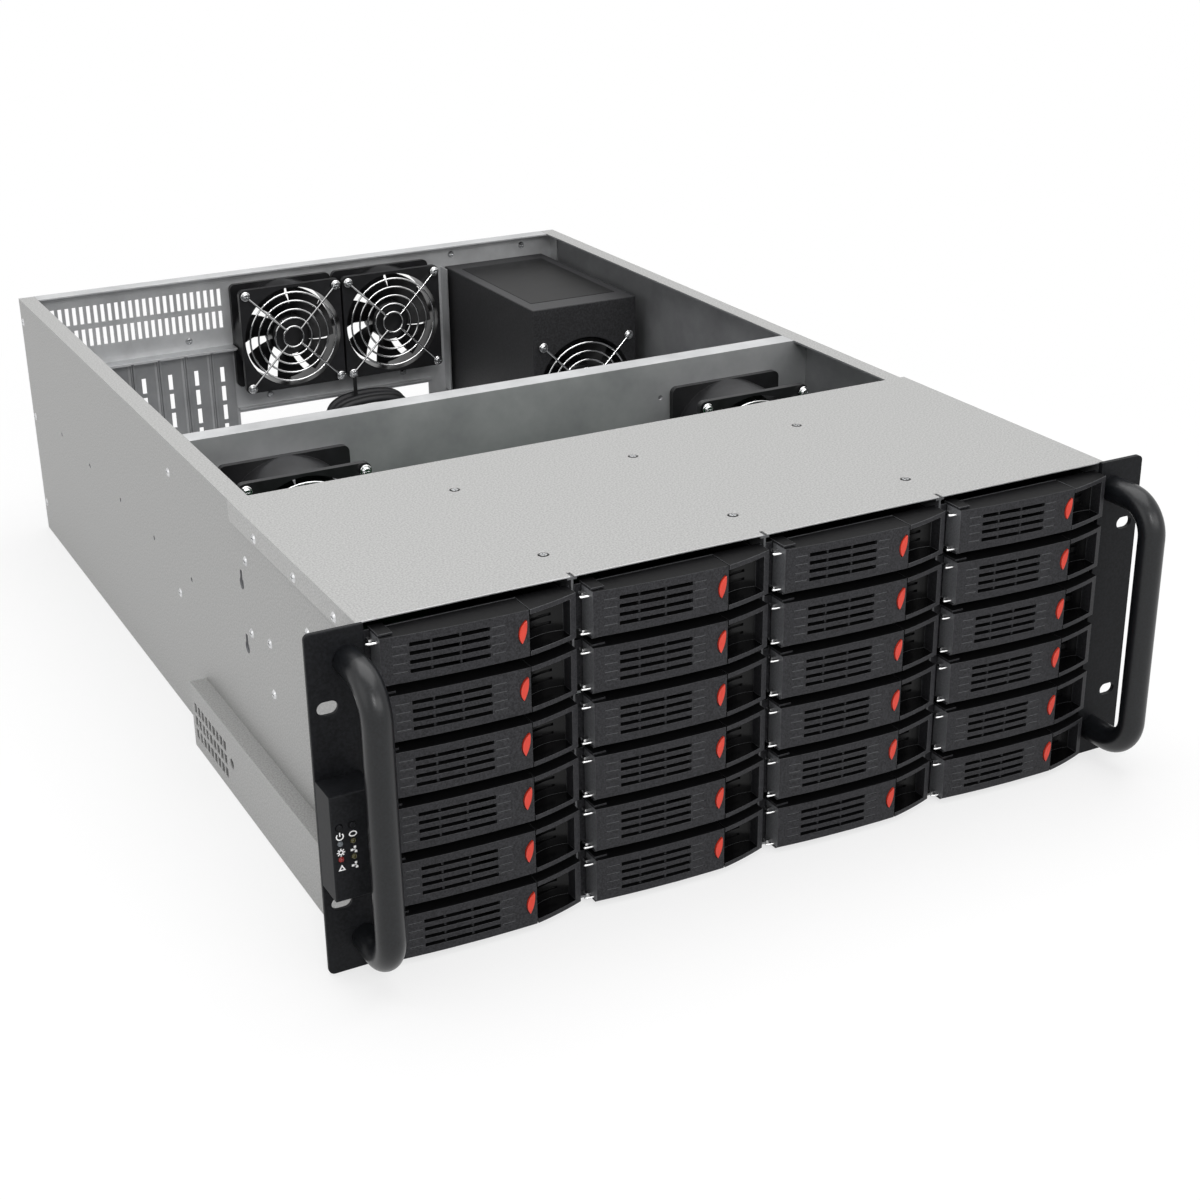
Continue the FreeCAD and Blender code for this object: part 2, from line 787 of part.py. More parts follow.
def makeHandle(label, side):
    radius = S.handle_bar / 2
    x = S.handle_offset * side
    low = (S.panel_height - S.handle_span) / 2
    high = low + S.handle_span
    barY = radius - S.handle_reach
    legEnd = barY + S.handle_bend
    pieces = [rod(label + "_grip", radius, S.handle_span - S.handle_bend * 2, (x, barY, low + S.handle_bend))]
    for level, z in (("low", low), ("high", high)):
        pieces.append(rod(f"{label}_leg_{level}", radius, -legEnd, (x, legEnd, z), ALONG_Y))
        pieces.append(elbow(f"{label}_bend_{level}", x, legEnd, z, level == "high"))
    node(label, [fuse(label + "_bar", pieces)])


def elbow(name, x, y, z, upper):
    item = doc.addObject("Part::Torus", name)
    bind(item, "Radius1", S.handle_bend)
    bind(item, "Radius2", S.handle_bar / 2)
    item.Angle3 = 90
    # The quarter ring is stood up in the YZ plane, opening towards the ear.
    stand = Rotation(Vector(0, 1, 0), -90)
    spin = Rotation(Vector(1, 0, 0), 90 if upper else 180)
    item.Placement = Placement(Vector(), spin.multiply(stand))
    return move(item, x, y, z - S.handle_bend if upper else z + S.handle_bend)


def panelX(column):
    return S.panel_column_inset + S.panel_column_pitch * column - S.panel_width / 2


boxTop = S.box_bottom + S.box_height
buttonHeight = boxTop - S.button_drop


def lampHeight(level):
    return boxTop - S.lamp_drop - S.lamp_pitch * level


def makeControlBox():
    body = makeBody("box_shell")
    face = rectangle(sketchOn(body, "box_face", "XZ_Plane"),
                     (-S.panel_width / 2, -S.box_inner_edge), (S.box_bottom, boxTop))
    block = pad(body, face, S.box_depth)
    front = (-S.box_depth).value
    roundEdges(body, block, S.box_edge,
               lambda e: all(abs(v.Y - front) < 0.01 for v in e.Vertexes))
    holes = sketchOn(body, "button_holes", "XZ_Plane", S.box_depth)
    for column in range(2):
        circle(holes, panelX(column), buttonHeight, S.button_radius + S.button_clearance)
    pocket(body, holes, S.button_length - S.button_proud + S.button_travel + S.button_clearance)
    lamps = sketchOn(body, "lamp_holes", "XZ_Plane", S.box_depth)
    for column in range(2):
        for level in range(2):
            circle(lamps, panelX(column), lampHeight(level), S.lamp_radius + S.lamp_clearance)
    pocket(body, lamps, S.lamp_length - S.lamp_proud)
    node("control_box", [body])


def makeButtonsAndLamps():
    for column, label in enumerate(("power_button", "reset_button")):
        place = (panelX(column), -S.box_depth - S.button_proud, buttonHeight)
        node(label, [rod(label + "_plunger", S.button_radius, S.button_length, place, ALONG_Y)])
    lamps = []
    for column in range(2):
        for level in range(2):
            place = (panelX(column), -S.box_depth - S.lamp_proud, lampHeight(level))
            lamps.append(rod("lamp", S.lamp_radius, S.lamp_length, place, ALONG_Y))
    node("indicator_lamps", lamps)


# Drive trays: sled, front bezel with finger pocket, swinging lever and red latch

def seamFront(x):
    # How far the front of the bezel stands out at a place across the tray.
    share = (x - S.lever_start) / (S.seam_at - S.lever_start)
    return S.lever_reach_left + (S.lever_reach_seam - S.lever_reach_left) * share


def makeLever():
    body = makeBody("lever")
    end = S.seam_at - S.seam_gap / 2
    rootEnd = S.lever_start + S.lever_root_width
    plan = [(S.lever_start, S.lever_root_y), (S.lever_start, -S.lever_reach_left, S.lever_bow),
            (end, -S.lever_reach_seam), (end, S.lever_root_y)]
    pad(body, outline(sketchOn(body, "lever_plan", "XY_Plane"), plan), S.tray_height, midplane=True)
    inside = end - S.lever_wall
    hollow = [(rootEnd, S.lever_root_y), (rootEnd, S.lever_thick - S.lever_reach_left),
              (inside, S.lever_thick - S.lever_reach_seam), (inside, S.lever_root_y)]
    back = body.newObject("PartDesign::Pocket", "lever_hollow_cut")
    back.Profile = outline(sketchOn(body, "lever_hollow", "XY_Plane"), hollow)
    back.Midplane = True
    bind(back, "Length", S.tray_height - S.lever_wall * 2)
    slots = sketchOn(body, "lever_slots", "XZ_Plane")
    for level in range(VENT_ROWS):
        middle = S.vent_pitch * (1.5 - level)
        rectangle(slots, (S.vent_start, S.vent_start + S.vent_length),
                  (middle - S.vent_slot / 2, middle + S.vent_slot / 2))
    pocketThrough(body, slots)
    addGroove(body, "left", S.vent_start - S.groove_gap - S.groove_length)
    addGroove(body, "right", S.vent_start + S.vent_length + S.groove_gap)
    pocketThrough(body, latchOutline(sketchOn(body, "latch_window", "XZ_Plane"), S.latch_clearance))
    bore = sketchOn(body, "lever_bore", "XY_Plane")
    pocketThrough(body, circle(bore, S.hinge_at, -S.hinge_y, S.hinge_pin_radius + S.hinge_clearance))
    # Two claws at the hinge end reach for the edge of the cage.
    reach = (S.claw_start, S.lever_start + S.claw_thick)
    claws = [box("claw", reach, (-S.claw_front, 0), (z, z + S.claw_thick))
             for z in (S.claw_high, -S.claw_low)]
    return fuse("lever_whole", [body] + claws + [ventRib(i) for i in range(VENT_RIBS)])


def ventRib(index):
    # An upright rib, set back from the front, ties the bars between the vent slots together.
    x = S.vent_start + S.vent_rib_first + S.vent_rib_pitch * index
    high = S.vent_pitch * 2
    return box("vent_rib", (x, x + S.vent_rib_width),
               (S.vent_rib_recess - leverFront(x), S.lever_thick - seamFront(x)), (-high, high))


def leverFront(x):
    # The bowed front, with the bow taken as a parabola across the lever.
    half = (S.seam_at - S.lever_start) / 2
    share = (x - S.lever_start - half) / half
    return seamFront(x) + S.lever_bow * (1 - share * share)


def addGroove(body, side, start):
    # Shallow grooves in the front, one in line with each vent slot.
    end = start + S.groove_length
    clear = -S.lever_reach_seam * 2
    lowest = -S.vent_pitch * 1.5 - S.groove_width / 2
    strip = outline(sketchOn(body, f"groove_{side}", "XY_Plane", lowest),
                    [(start, clear), (end, clear), (end, S.groove_depth - leverFront(end)),
                     (start, S.groove_depth - leverFront(start))])
    groove = pocket(body, strip, S.groove_width, backward=True)
    repeat(body, groove, "Z_Axis", S.vent_pitch, VENT_ROWS)


def latchOutline(sketch, margin):
    # A leaf whose right side is nearly straight, because it lies along the seam.
    middle = halfTray - S.latch_drop
    reach = S.latch_height / 2 + of(margin) * 2
    lean = S.latch_lean / 2
    top, bottom = (S.latch_at + lean, middle + reach), (S.latch_at - lean, middle - reach)
    return outline(sketch, [(bottom[0], bottom[1], S.latch_bulge_right + margin),
                            (top[0], top[1], S.latch_bulge_left + margin)])


def makeLatch():
    body = makeBody("latch")
    front = seamFront(S.latch_at) + S.latch_proud
    sketch = latchOutline(sketchOn(body, "latch_leaf", "XZ_Plane", front), 0)
    pad(body, sketch, S.latch_length, backward=True)
    return body


def makeTrayFrame():
    start = (S.bay_pitch - S.tray_width) / 2
    end = start + S.tray_width
    back = S.tray_front_y + S.tray_front_thick
    body = makeBody("tray_channel")
    wall, high, low = S.tray_wall, S.tray_side_above, -halfTray
    profile = [(start, low), (end, low), (end, high), (end - wall, high), (end - wall, low + wall),
               (start + wall, low + wall), (start + wall, high), (start, high)]
    sled = outline(sketchOn(body, "tray_profile", "XZ_Plane", -back), profile)
    pad(body, sled, S.tray_length, backward=True)
    border = S.tray_floor_border
    floor = rectangle(sketchOn(body, "tray_floor", "XY_Plane"), (start + border, end - border),
                      (back + border, back + S.tray_length - border))
    pocketThrough(body, floor)
    return [body, fuse("tray_bezel", [makeTrayFront(), makePocketBezel()] + makeLugs())]


def makeTrayFront():
    body = makeBody("tray_front")
    back = S.tray_front_y + S.tray_front_thick
    start = (S.bay_pitch - S.tray_width) / 2
    face = sketchOn(body, "front_wall", "XZ_Plane", -S.tray_front_y)
    pad(body, rectangle(face, (start, start + S.tray_width), (-halfTray, halfTray)),
        S.tray_front_thick, backward=True)
    window = (S.lever_start + S.lever_root_width, S.seam_at - S.pocket_rim)
    high = S.vent_pitch * 2
    pocketThrough(body, rectangle(sketchOn(body, "front_window", "XZ_Plane", -back), window, (-high, high)))
    return body


def makePocketBezel():
    body = makeBody("pocket_bezel")
    start = S.seam_at + S.seam_gap / 2
    end, rim = S.pocket_end, S.pocket_rim
    plan = [(start, S.tray_front_y), (start, -S.lever_reach_seam, S.lever_bow / 2),
            (end, -S.pocket_reach_right), (end, S.tray_front_y)]
    pad(body, outline(sketchOn(body, "bezel_plan", "XY_Plane"), plan), S.tray_height, midplane=True)
    far = -S.lever_reach_seam * 2
    frameSide = end - S.pocket_frame
    scoop = [(start - rim, far), (frameSide, far), (frameSide, S.pocket_floor_y, S.pocket_sweep),
             (start - rim, -S.lever_reach_seam / 2)]
    hollow = outline(sketchOn(body, "finger_scoop", "XY_Plane"), scoop)
    cutter = body.newObject("PartDesign::Pocket", "finger_scoop_cut")
    cutter.Profile = hollow
    cutter.Midplane = True
    bind(cutter, "Length", S.tray_height - rim * 2)
    slits = sketchOn(body, "pocket_slits", "XZ_Plane")
    for level in range(POCKET_SLITS):
        middle = S.vent_pitch * (level - 1)
        rectangle(slits, (S.slit_start, S.slit_start + S.slit_length),
                  (middle - S.slit_height / 2, middle + S.slit_height / 2))
    pocketThrough(body, slits)
    return body


def makeLugs():
    # Two ears above and below the lever hold its hinge pin.
    lugs = []
    plate = (S.lever_start, S.hinge_at + S.lug_half)
    back = S.tray_front_y + S.tray_front_thick
    for level in (-1, 1):
        inner = (halfTray + S.lug_gap) * level
        outer = (halfTray + S.lug_gap + S.lug_thick) * level
        span = (inner, outer) if level > 0 else (outer, inner)
        lugs.append(box("lug", plate, (-S.lug_reach, back), span))
        foot = (halfTray * level, inner) if level > 0 else (inner, halfTray * level)
        lugs.append(box("lug_foot", plate, (S.tray_front_y, back), foot))
    length = S.tray_height + S.lug_gap * 2
    lugs.append(rod("hinge_pin", S.hinge_pin_radius, length, (S.hinge_at, -S.hinge_y, -length / 2)))
    return lugs


def makeTrays():
    frame, lever, latch = makeTrayFrame(), makeLever(), makeLatch()
    for column in range(COLUMNS):
        for row in range(ROWS):
            name = f"{COLUMN_NAMES[column]}{row + 1}"
            place = (bayLeft(column), 0, rowHeight(row))
            if row == 0:
                node("tray_" + name, frame, *place)
                node("lever_" + name, [lever], *place)
                node("latch_" + name, [latch], *place)
            else:
                node("tray_" + name, frame + [lever, latch], *place)


# Drive cage and backplane

def makeCage():
    plates = []
    top = bodyTop
    for column in range(COLUMNS + 1):
        x = bayLeft(column)
        name = f"cage_plate_{column}"
        run = (S.cage_start, cageEnd)
        if column == 0:
            walls = (S.sheet - halfBody, S.sheet - halfBody + S.cage_side_sheet)
        elif column == COLUMNS:
            walls = (halfBody - S.sheet - S.cage_side_sheet, halfBody - S.sheet)
        else:
            walls = (x - S.sheet / 2, x + S.sheet / 2)
        inner = column in range(1, COLUMNS)
        height = top if inner else top - S.sheet
        pieces = [box(name, walls, run, (S.sheet, height))]
        if inner:
            flange = (x - S.cage_top_flange / 2, x + S.cage_top_flange / 2)
            pieces.append(box(name + "_flange", flange, run, (top - S.sheet, top)))
        for row in range(ROWS):
            pieces += makeGuides(f"{name}_{row}", walls, rowHeight(row), column)
        plates.append(fuse(name + "_whole", pieces))
    node("drive_cage", plates)


def makeGuides(name, walls, height, column):
    # A narrow ledge on each side carries the tray by its side wall, clear of the drive in it.
    run = (S.guide_start, cageEnd - S.backplane_gap)
    low = height + guideLow
    spans = []
    if column < COLUMNS:
        spans.append((walls[1], bayLeft(column) + S.guide_width))
    if column > 0:
        spans.append((bayLeft(column) - S.guide_width, walls[0]))
    return [box(name + "_ledge", span, run, (low - S.guide_thick, low)) for span in spans]


def makeBackplane():
    body = makeBody("board")
    half = halfBody - S.backplane_border
    board = rectangle(sketchOn(body, "board_face", "XZ_Plane", -cageEnd), (-half, half),
                      (S.backplane_border, bodyTop - S.backplane_border))
    pad(body, board, S.backplane_thick, backward=True)
    holes = sketchOn(body, "board_air", "XZ_Plane")
    airWidth, airHeight = S.connector_width / 2, S.board_air_height
    for row in range(ROWS):
        middle = rowHeight(row)
        left = firstBay + S.bay_pitch / 2 + S.connector_width / 2 + airWidth / 4
        rectangle(holes, (left, left + airWidth), (middle - airHeight / 2, middle + airHeight / 2))
    repeat(body, pocketThrough(body, holes), "X_Axis", S.bay_pitch, COLUMNS)
    plugs = []
    for column in range(COLUMNS):
        for row in range(ROWS):
            x, z = bayLeft(column) + S.bay_pitch / 2, rowHeight(row) - S.connector_drop
            plugs.append(box("drive_socket", (x - S.connector_width / 2, x + S.connector_width / 2),
                             (cageEnd - S.backplane_gap / 2, cageEnd),
                             (z - S.connector_height / 2, z + S.connector_height / 2)))
    node("drive_backplane", [body] + plugs)


# Fans, rotors and wire guards

def rearFanX(index):
    return S.rear_fan_pitch * index - S.rear_fan_left_x


def makeFanFrame(name, depth):
    body = makeBody(name + "_flange")
    half = S.fan_size / 2
    square = rectangle(sketchOn(body, name + "_square", "XZ_Plane"), (-half, half), (-half, half))
    flange = pad(body, square, S.fan_flange, backward=True)
    roundEdges(body, flange, S.fan_corner, lambda e: along(e, Vector(0, 1, 0)))
    rear = copyAt(name + "_rear_flange", body, 0, of(depth) - S.fan_flange, 0)
    barrel = rod(name + "_barrel", half, depth, (0, 0, 0), ALONG_Y)
    duct = rod(name + "_duct", S.fan_duct / 2, depth, (0, 0, 0), ALONG_Y)
    shell = cut(name + "_shell", fuse(name + "_outside", [body, rear, barrel]), [duct])
    reach = S.fan_duct / 2 + (half - S.fan_duct / 2) / 2
    strut = S.strut_width / 2
    bars = (of(depth) - S.fan_flange, depth)
    stator = [rod(name + "_stator", S.stator_disc, S.fan_flange, (0, bars[0], 0), ALONG_Y),
              box(name + "_strut_x", (-reach, reach), bars, (-strut, strut)),
              box(name + "_strut_z", (-strut, strut), bars, (-reach, reach))]
    return fuse(name, [shell] + stator)


def makeRotor():
    body = makeBody("rotor")
    hub = circle(sketchOn(body, "hub", "XZ_Plane"), 0, 0, S.rotor_hub)
    pad(body, hub, S.rotor_length, backward=True)
    middle, thick = S.rotor_length / 2, S.blade_thick / 2
    chord, rise, camber = S.blade_chord_y, S.blade_chord_z, S.blade_camber
    root = S.blade_root
    blade = outline(sketchOn(body, "blade", "YZ_Plane", root),
                    [(middle - chord + thick, -rise, camber), (middle + chord + thick, rise),
                     (middle + chord - thick, rise, -camber), (middle - chord - thick, -rise)])
    vane = pad(body, blade, S.rotor_tip - root)
    ring = body.newObject("PartDesign::PolarPattern", "blades")
    ring.Originals = [vane]
    ring.Axis = (origin(body, "Y_Axis"), [""])
    ring.Angle = 360
    ring.Occurrences = FAN_BLADES
    body.Tip = ring
    return body


def makeGuard():
    wire, half = S.guard_wire, S.guard_wire / 2
    pieces = []
    for index in range(GUARD_RINGS):
        middle = S.guard_ring_first + S.guard_ring_pitch * index
        outer = rod(f"ring_{index}", middle + half, wire, (0, -wire, 0), ALONG_Y)
        inner = rod(f"ring_hole_{index}", middle - half, wire, (0, -wire, 0), ALONG_Y)
        pieces.append(cut(f"ring_wire_{index}", outer, [inner]))
    corner = S.fan_hole_spacing / 2
    for name, lean in (("rising", -45), ("falling", 45)):
        spoke = doc.addObject("Part::Box", "spoke_" + name)
        for path, size in (("Length", corner * 2 * math.sqrt(2)), ("Width", wire), ("Height", wire)):
            bind(spoke, path, size)
        turn = Rotation(Vector(0, 1, 0), lean)
        spoke.Placement = Placement(Vector(), turn)
        shift = half / math.sqrt(2)
        if lean < 0:
            move(spoke, -corner + shift, -wire * 2, -corner - shift)
        else:
            move(spoke, -corner - shift, -wire * 2, corner - shift)
        pieces.append(spoke)
    for x in (-1, 1):
        for z in (-1, 1):
            pieces.append(rod("loop", S.guard_loop, wire * 2, (corner * x, -wire * 2, corner * z), ALONG_Y))
    return fuse("guard", pieces)


rearFanFront = rearInside - S.rear_fan_depth
midFanFront = S.mid_wall_y - S.mid_fan_depth
psuFront = rearInside - S.psu_depth
psuFanX = psuLeft + S.psu_width / 2
FAN_PLACES = {
    "rear_left": (rearFanX(0), rearFanFront, S.rear_fan_height),
    "rear_right": (rearFanX(1), rearFanFront, S.rear_fan_height),
    "mid_left": (-S.mid_fan_offset, midFanFront, S.mid_fan_height),
    "mid_right": (S.mid_fan_offset, midFanFront, S.mid_fan_height),
    "psu": (psuFanX, psuFront, S.psu_fan_height),
}
FAN_DEPTHS = {"rear_left": S.rear_fan_depth, "rear_right": S.rear_fan_depth,
              "mid_left": S.mid_fan_depth, "mid_right": S.mid_fan_depth}


def makeFans():
    rearFan = makeFanFrame("rear_fan", S.rear_fan_depth)
    midFan = makeFanFrame("mid_fan", S.mid_fan_depth)
    for place, fan in (("rear", rearFan), ("mid", midFan)):
        sides = (place + "_left", place + "_right")
        node(place + "_fan_frames", [copyAt(f"fan_{n}", fan, *FAN_PLACES[n]) for n in sides])
    rotor, guard = makeRotor(), makeGuard()
    for name, (x, y, z) in FAN_PLACES.items():
        seat = FAN_DEPTHS[name] - S.fan_flange if name in FAN_DEPTHS else S.psu_fan_depth
        node(name + "_rotor", [rotor], x, y + seat - S.rotor_gap - S.rotor_length, z)
    node("fan_guards", [copyAt(f"guard_{n}", guard, *place) for n, place in FAN_PLACES.items()])


def guardFront(fanFront):
    return fanFront - S.guard_wire * 2


# Where the side screws sit, as depth from the ears and height: cover, cage, middle wall and rear panel.
FLANGE_SCREWS = (30, 84, 142)
CAGE_SCREWS = ((72, 114), (72, 144), (133, 85), (133, 114), (163, 108), (163, 149))
MID_SCREWS = (81, 156)
REAR_SCREWS = (22, 89, 160)


def makeScrews():
    heads = []
    corner = S.fan_hole_spacing / 2
    height = S.screw_head_height
    for x, y, z in FAN_PLACES.values():
        for across in (-1, 1):
            for up in (-1, 1):
                place = (x + corner * across, guardFront(y) - height, z + corner * up)
                heads.append(rod("guard_screw", S.screw_head, height, place, ALONG_Y))
    for x, y in coverScrewPlaces():
        heads.append(rod("cover_screw", S.screw_head, S.cover_sheet, (x, y, bodyTop)))
    flange = halfBody + S.fold_clearance + S.cover_sheet
    for side in (-1, 1):
        heads += [sideScrew(side, flange, y, bodyTop - S.flange_screw_drop) for y in FLANGE_SCREWS]
        heads += [sideScrew(side, halfBody, y, z) for y, z in CAGE_SCREWS]
        heads += [sideScrew(side, halfBody, S.mid_wall_y + S.mid_screw_inset, z) for z in MID_SCREWS]
        heads += [sideScrew(side, halfBody, S.chassis_depth - S.rear_screw_inset, z) for z in REAR_SCREWS]
    node("screws", heads)


def sideScrew(side, face, y, z):
    height = S.side_screw_height
    return rod("side_screw", S.screw_head, height, (face if side > 0 else -of(face) - height, y, z), ALONG_X)


# Power supply and its cable

def makePowerSupply():
    body = makeBody("psu")
    left, right = psuLeft, psuLeft + S.psu_width
    face = rectangle(sketchOn(body, "psu_face", "XZ_Plane", -psuFront), (left, right),
                     (S.psu_bottom, S.psu_bottom + S.psu_height))
    pad(body, face, S.psu_depth, backward=True)
    well = sketchOn(body, "psu_fan_well", "XZ_Plane", -psuFront)
    pocket(body, circle(well, psuFanX, S.psu_fan_height, S.fan_duct / 2), S.psu_fan_depth)
    middle = psuFanX
    low = S.psu_bottom + S.inlet_bottom
    inlet = rectangle(sketchOn(body, "mains_inlet", "XZ_Plane", -rearInside),
                      (middle - S.inlet_width / 2, middle + S.inlet_width / 2), (low, low + S.inlet_height))
    pocket(body, inlet, S.inlet_depth, backward=True)
    vent = S.psu_vent_width
    first = middle - vent * 2 * (PSU_VENTS - 1) / 2
    slots = sketchOn(body, "psu_vents", "XZ_Plane", -rearInside)
    rectangle(slots, (first - vent / 2, first + vent / 2),
              (S.psu_vent_bottom, S.psu_vent_bottom + S.psu_vent_height))
    repeat(body, pocket(body, slots, S.psu_vent_depth, backward=True), "X_Axis", vent * 2, PSU_VENTS)
    node("power_supply", [body])


hankFront = rearFanFront + S.hank_under_fan - S.hank_depth


def cableRoute():
    # The lead leaves the supply forwards, turns round in the rear bay and comes back to the hank.
    start = Vector((psuLeft + S.cable_exit_inset).value, psuFront.value, S.cable_exit_height.value)
    steps = [(0, -38, 0), (-23, -68, 1), (-59, -76, 2), (-87, -54, 3), (-95, -14, 4), (-94, 28, 6)]
    points = [start + Vector(*step) for step in steps]
    hankMiddle = Vector((S.hank_left_x + S.hank_width / 2).value, hankFront.value,
                        (S.hank_bottom + S.hank_height / 3).value)
    last = points[-1]
    between = last + (hankMiddle - last) * 0.5 + Vector(2, 0, -4)
    return [start] + points + [between, hankMiddle]


def roundedPath(points):
    # Straight runs joined by the largest tangent arcs that the shorter run beside each point allows.
    edges, here = [], points[0]
    for before, corner, after in zip(points, points[1:], points[2:]):
        inward, outward = (before - corner), (after - corner)
        reach = 0.45 * min(inward.Length, outward.Length)
        a = corner + Vector(inward).normalize() * reach
        b = corner + Vector(outward).normalize() * reach
        half = inward.getAngle(outward) / 2
        radius = reach * math.tan(half)
        middle = Vector(Vector(inward).normalize() + Vector(outward).normalize()).normalize()
        top = corner + middle * (radius / math.sin(half) - radius)
        edges.append(Part.LineSegment(here, a).toShape())
        edges.append(Part.Arc(a, top, b).toShape())
        print(f"cable bend radius {radius:.0f}")
        here = b
    edges.append(Part.LineSegment(here, points[-1]).toShape())
    return Part.Wire(edges)


def makeCable():
    points = cableRoute()
    path = roundedPath(points)
    radius = S.cable_radius.value
    ring = Part.Wire([Part.Circle(points[0], points[1] - points[0], radius).toShape()])
    lead = doc.addObject("Part::Feature", "cable_tube")
    lead.Shape = path.makePipeShell([ring], True, False)
    share = lead.Shape.Volume / (math.pi * radius**2 * path.Length)
    print(f"cable length {path.Length:.0f}, volume share {share:.4f}")
    node("psu_cable", [lead])
    body = makeBody("hank")
    # The folded turns lie side by side as one thick loop with round ends.
    end = S.hank_bulge
    left, right = S.hank_left_x + end, S.hank_left_x + S.hank_width - end
    low, high = S.hank_bottom, S.hank_bottom + S.hank_height
    face = outline(sketchOn(body, "hank_face", "XZ_Plane", -hankFront),
                   [(left, low), (right, low, end), (right, high), (left, high, end)])
    bundle = pad(body, face, S.hank_depth, backward=True)
    roundEdges(body, bundle, S.hank_round, lambda e: not along(e, Vector(0, 1, 0)))
    top = S.hank_bottom + S.hank_height
    screwUnder = S.rear_fan_height - S.fan_hole_spacing / 2 - S.screw_head - S.fold_clearance
    place = (rearFanX(1) - S.fan_hole_spacing / 2, guardFront(rearFanFront) - S.screw_head_height / 2, top)
    node("cable_hank", [body, rod("tie", S.tie_radius, screwUnder - top, place)])


makeTub()
makeCover()
makeMidWall()
makeRearPanel()
makeSlotCovers()
makeSideChannel()
for name, side in (("left", -1), ("right", 1)):
    makeEar(name + "_ear", side)
    makeHandle(name + "_handle", side)
makeControlBox()
makeButtonsAndLamps()
makeTrays()
makeCage()
makeBackplane()
makeFans()
makeScrews()
makePowerSupply()
makeCable()
doc.recompute()

for item in doc.Objects:
    if "Invalid" in item.State or "Error" in item.State:
        raise SystemExit(f"{item.Name} failed: {item.State}")
for item in nodes:
    if item.Shape.isNull() or not item.Shape.isValid() or not item.Shape.Solids:
        raise SystemExit(f"{item.Label} has no valid solid")
os.makedirs("parts", exist_ok=True)
for item in nodes:
    item.Shape.exportStep(f"parts/{item.Label}.step")
print(f"{len(nodes)} parts written")
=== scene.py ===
import math

import bmesh
import bpy
from mathutils import Matrix, Vector


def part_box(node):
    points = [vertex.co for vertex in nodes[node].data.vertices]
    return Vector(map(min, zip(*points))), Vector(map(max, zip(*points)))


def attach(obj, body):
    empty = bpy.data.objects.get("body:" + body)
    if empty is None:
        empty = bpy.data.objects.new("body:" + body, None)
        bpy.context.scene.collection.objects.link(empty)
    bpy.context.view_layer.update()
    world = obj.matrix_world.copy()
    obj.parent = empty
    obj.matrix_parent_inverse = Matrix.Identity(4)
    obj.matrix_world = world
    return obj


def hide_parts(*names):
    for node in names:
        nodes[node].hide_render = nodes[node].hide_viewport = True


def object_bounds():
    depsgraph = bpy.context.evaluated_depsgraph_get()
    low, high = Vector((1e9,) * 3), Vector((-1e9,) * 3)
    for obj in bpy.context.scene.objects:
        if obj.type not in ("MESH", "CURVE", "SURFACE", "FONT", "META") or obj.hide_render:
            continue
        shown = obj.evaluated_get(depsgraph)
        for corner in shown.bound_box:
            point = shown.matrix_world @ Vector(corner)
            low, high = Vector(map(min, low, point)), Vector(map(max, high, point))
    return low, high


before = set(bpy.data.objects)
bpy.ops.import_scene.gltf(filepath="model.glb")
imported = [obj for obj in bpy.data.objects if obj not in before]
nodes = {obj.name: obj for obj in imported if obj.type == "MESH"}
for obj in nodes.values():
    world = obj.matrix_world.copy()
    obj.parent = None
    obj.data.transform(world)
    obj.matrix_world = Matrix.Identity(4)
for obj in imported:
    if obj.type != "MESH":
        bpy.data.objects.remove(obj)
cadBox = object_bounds()
mm = 0.001
columns = "abcd"
rows = range(1, 7)
print("frame loaded:", len(nodes), "nodes")


# Small helpers that every piece uses

def srgb(text):
    channels = [int(text[i:i + 2], 16) / 255 for i in (1, 3, 5)]
    linear = [c / 12.92 if c <= 0.04045 else ((c + 0.055) / 1.055) ** 2.4 for c in channels]
    return (*linear, 1.0)


def addNode(tree, kind, inputs=None, **settings):
    node = tree.nodes.new(kind)
    for name, value in settings.items():
        setattr(node, name, value)
    for name, value in (inputs or {}).items():
        for item in value if isinstance(value, list) else [value]:
            if isinstance(item, bpy.types.NodeSocket):
                tree.links.new(item, node.inputs[name])
            else:
                node.inputs[name].default_value = item
    return node


def startMaterial(name, **sockets):
    material = bpy.data.materials.new(name)
    material.use_nodes = True
    tree = material.node_tree
    shader = tree.nodes["Principled BSDF"]
    for socket, value in sockets.items():
        shader.inputs[socket.replace("_", " ")].default_value = value
    return material, tree, shader


def linkObject(name, data):
    piece = bpy.data.objects.new(name, data)
    bpy.context.collection.objects.link(piece)
    return piece


def meshFrom(work, name, *materials):
    mesh = bpy.data.meshes.new(name)
    work.to_mesh(mesh)
    work.free()
    for material in materials:
        mesh.materials.append(material)
    return mesh


def tubeAlong(name, runs, thick, roundness, material):  # round wire or cord along each run of points
    data = bpy.data.curves.new(name, "CURVE")
    data.dimensions = "3D"
    data.bevel_depth = thick / 2
    data.bevel_resolution = roundness
    data.use_fill_caps = True
    data.materials.append(material)
    for points in runs:
        spline = data.splines.new("NURBS")
        spline.points.add(len(points) - 1)
        for point, place in zip(spline.points, points):
            point.co = (*place, 1)
        spline.order_u = 3
        spline.use_endpoint_u = True
        spline.resolution_u = 6
    return linkObject(name, data)


def settle(piece):  # modifiers become plain mesh
    graph = bpy.context.evaluated_depsgraph_get()
    mesh = bpy.data.meshes.new_from_object(piece.evaluated_get(graph), depsgraph=graph)
    piece.modifiers.clear()
    piece.data = mesh
    return piece


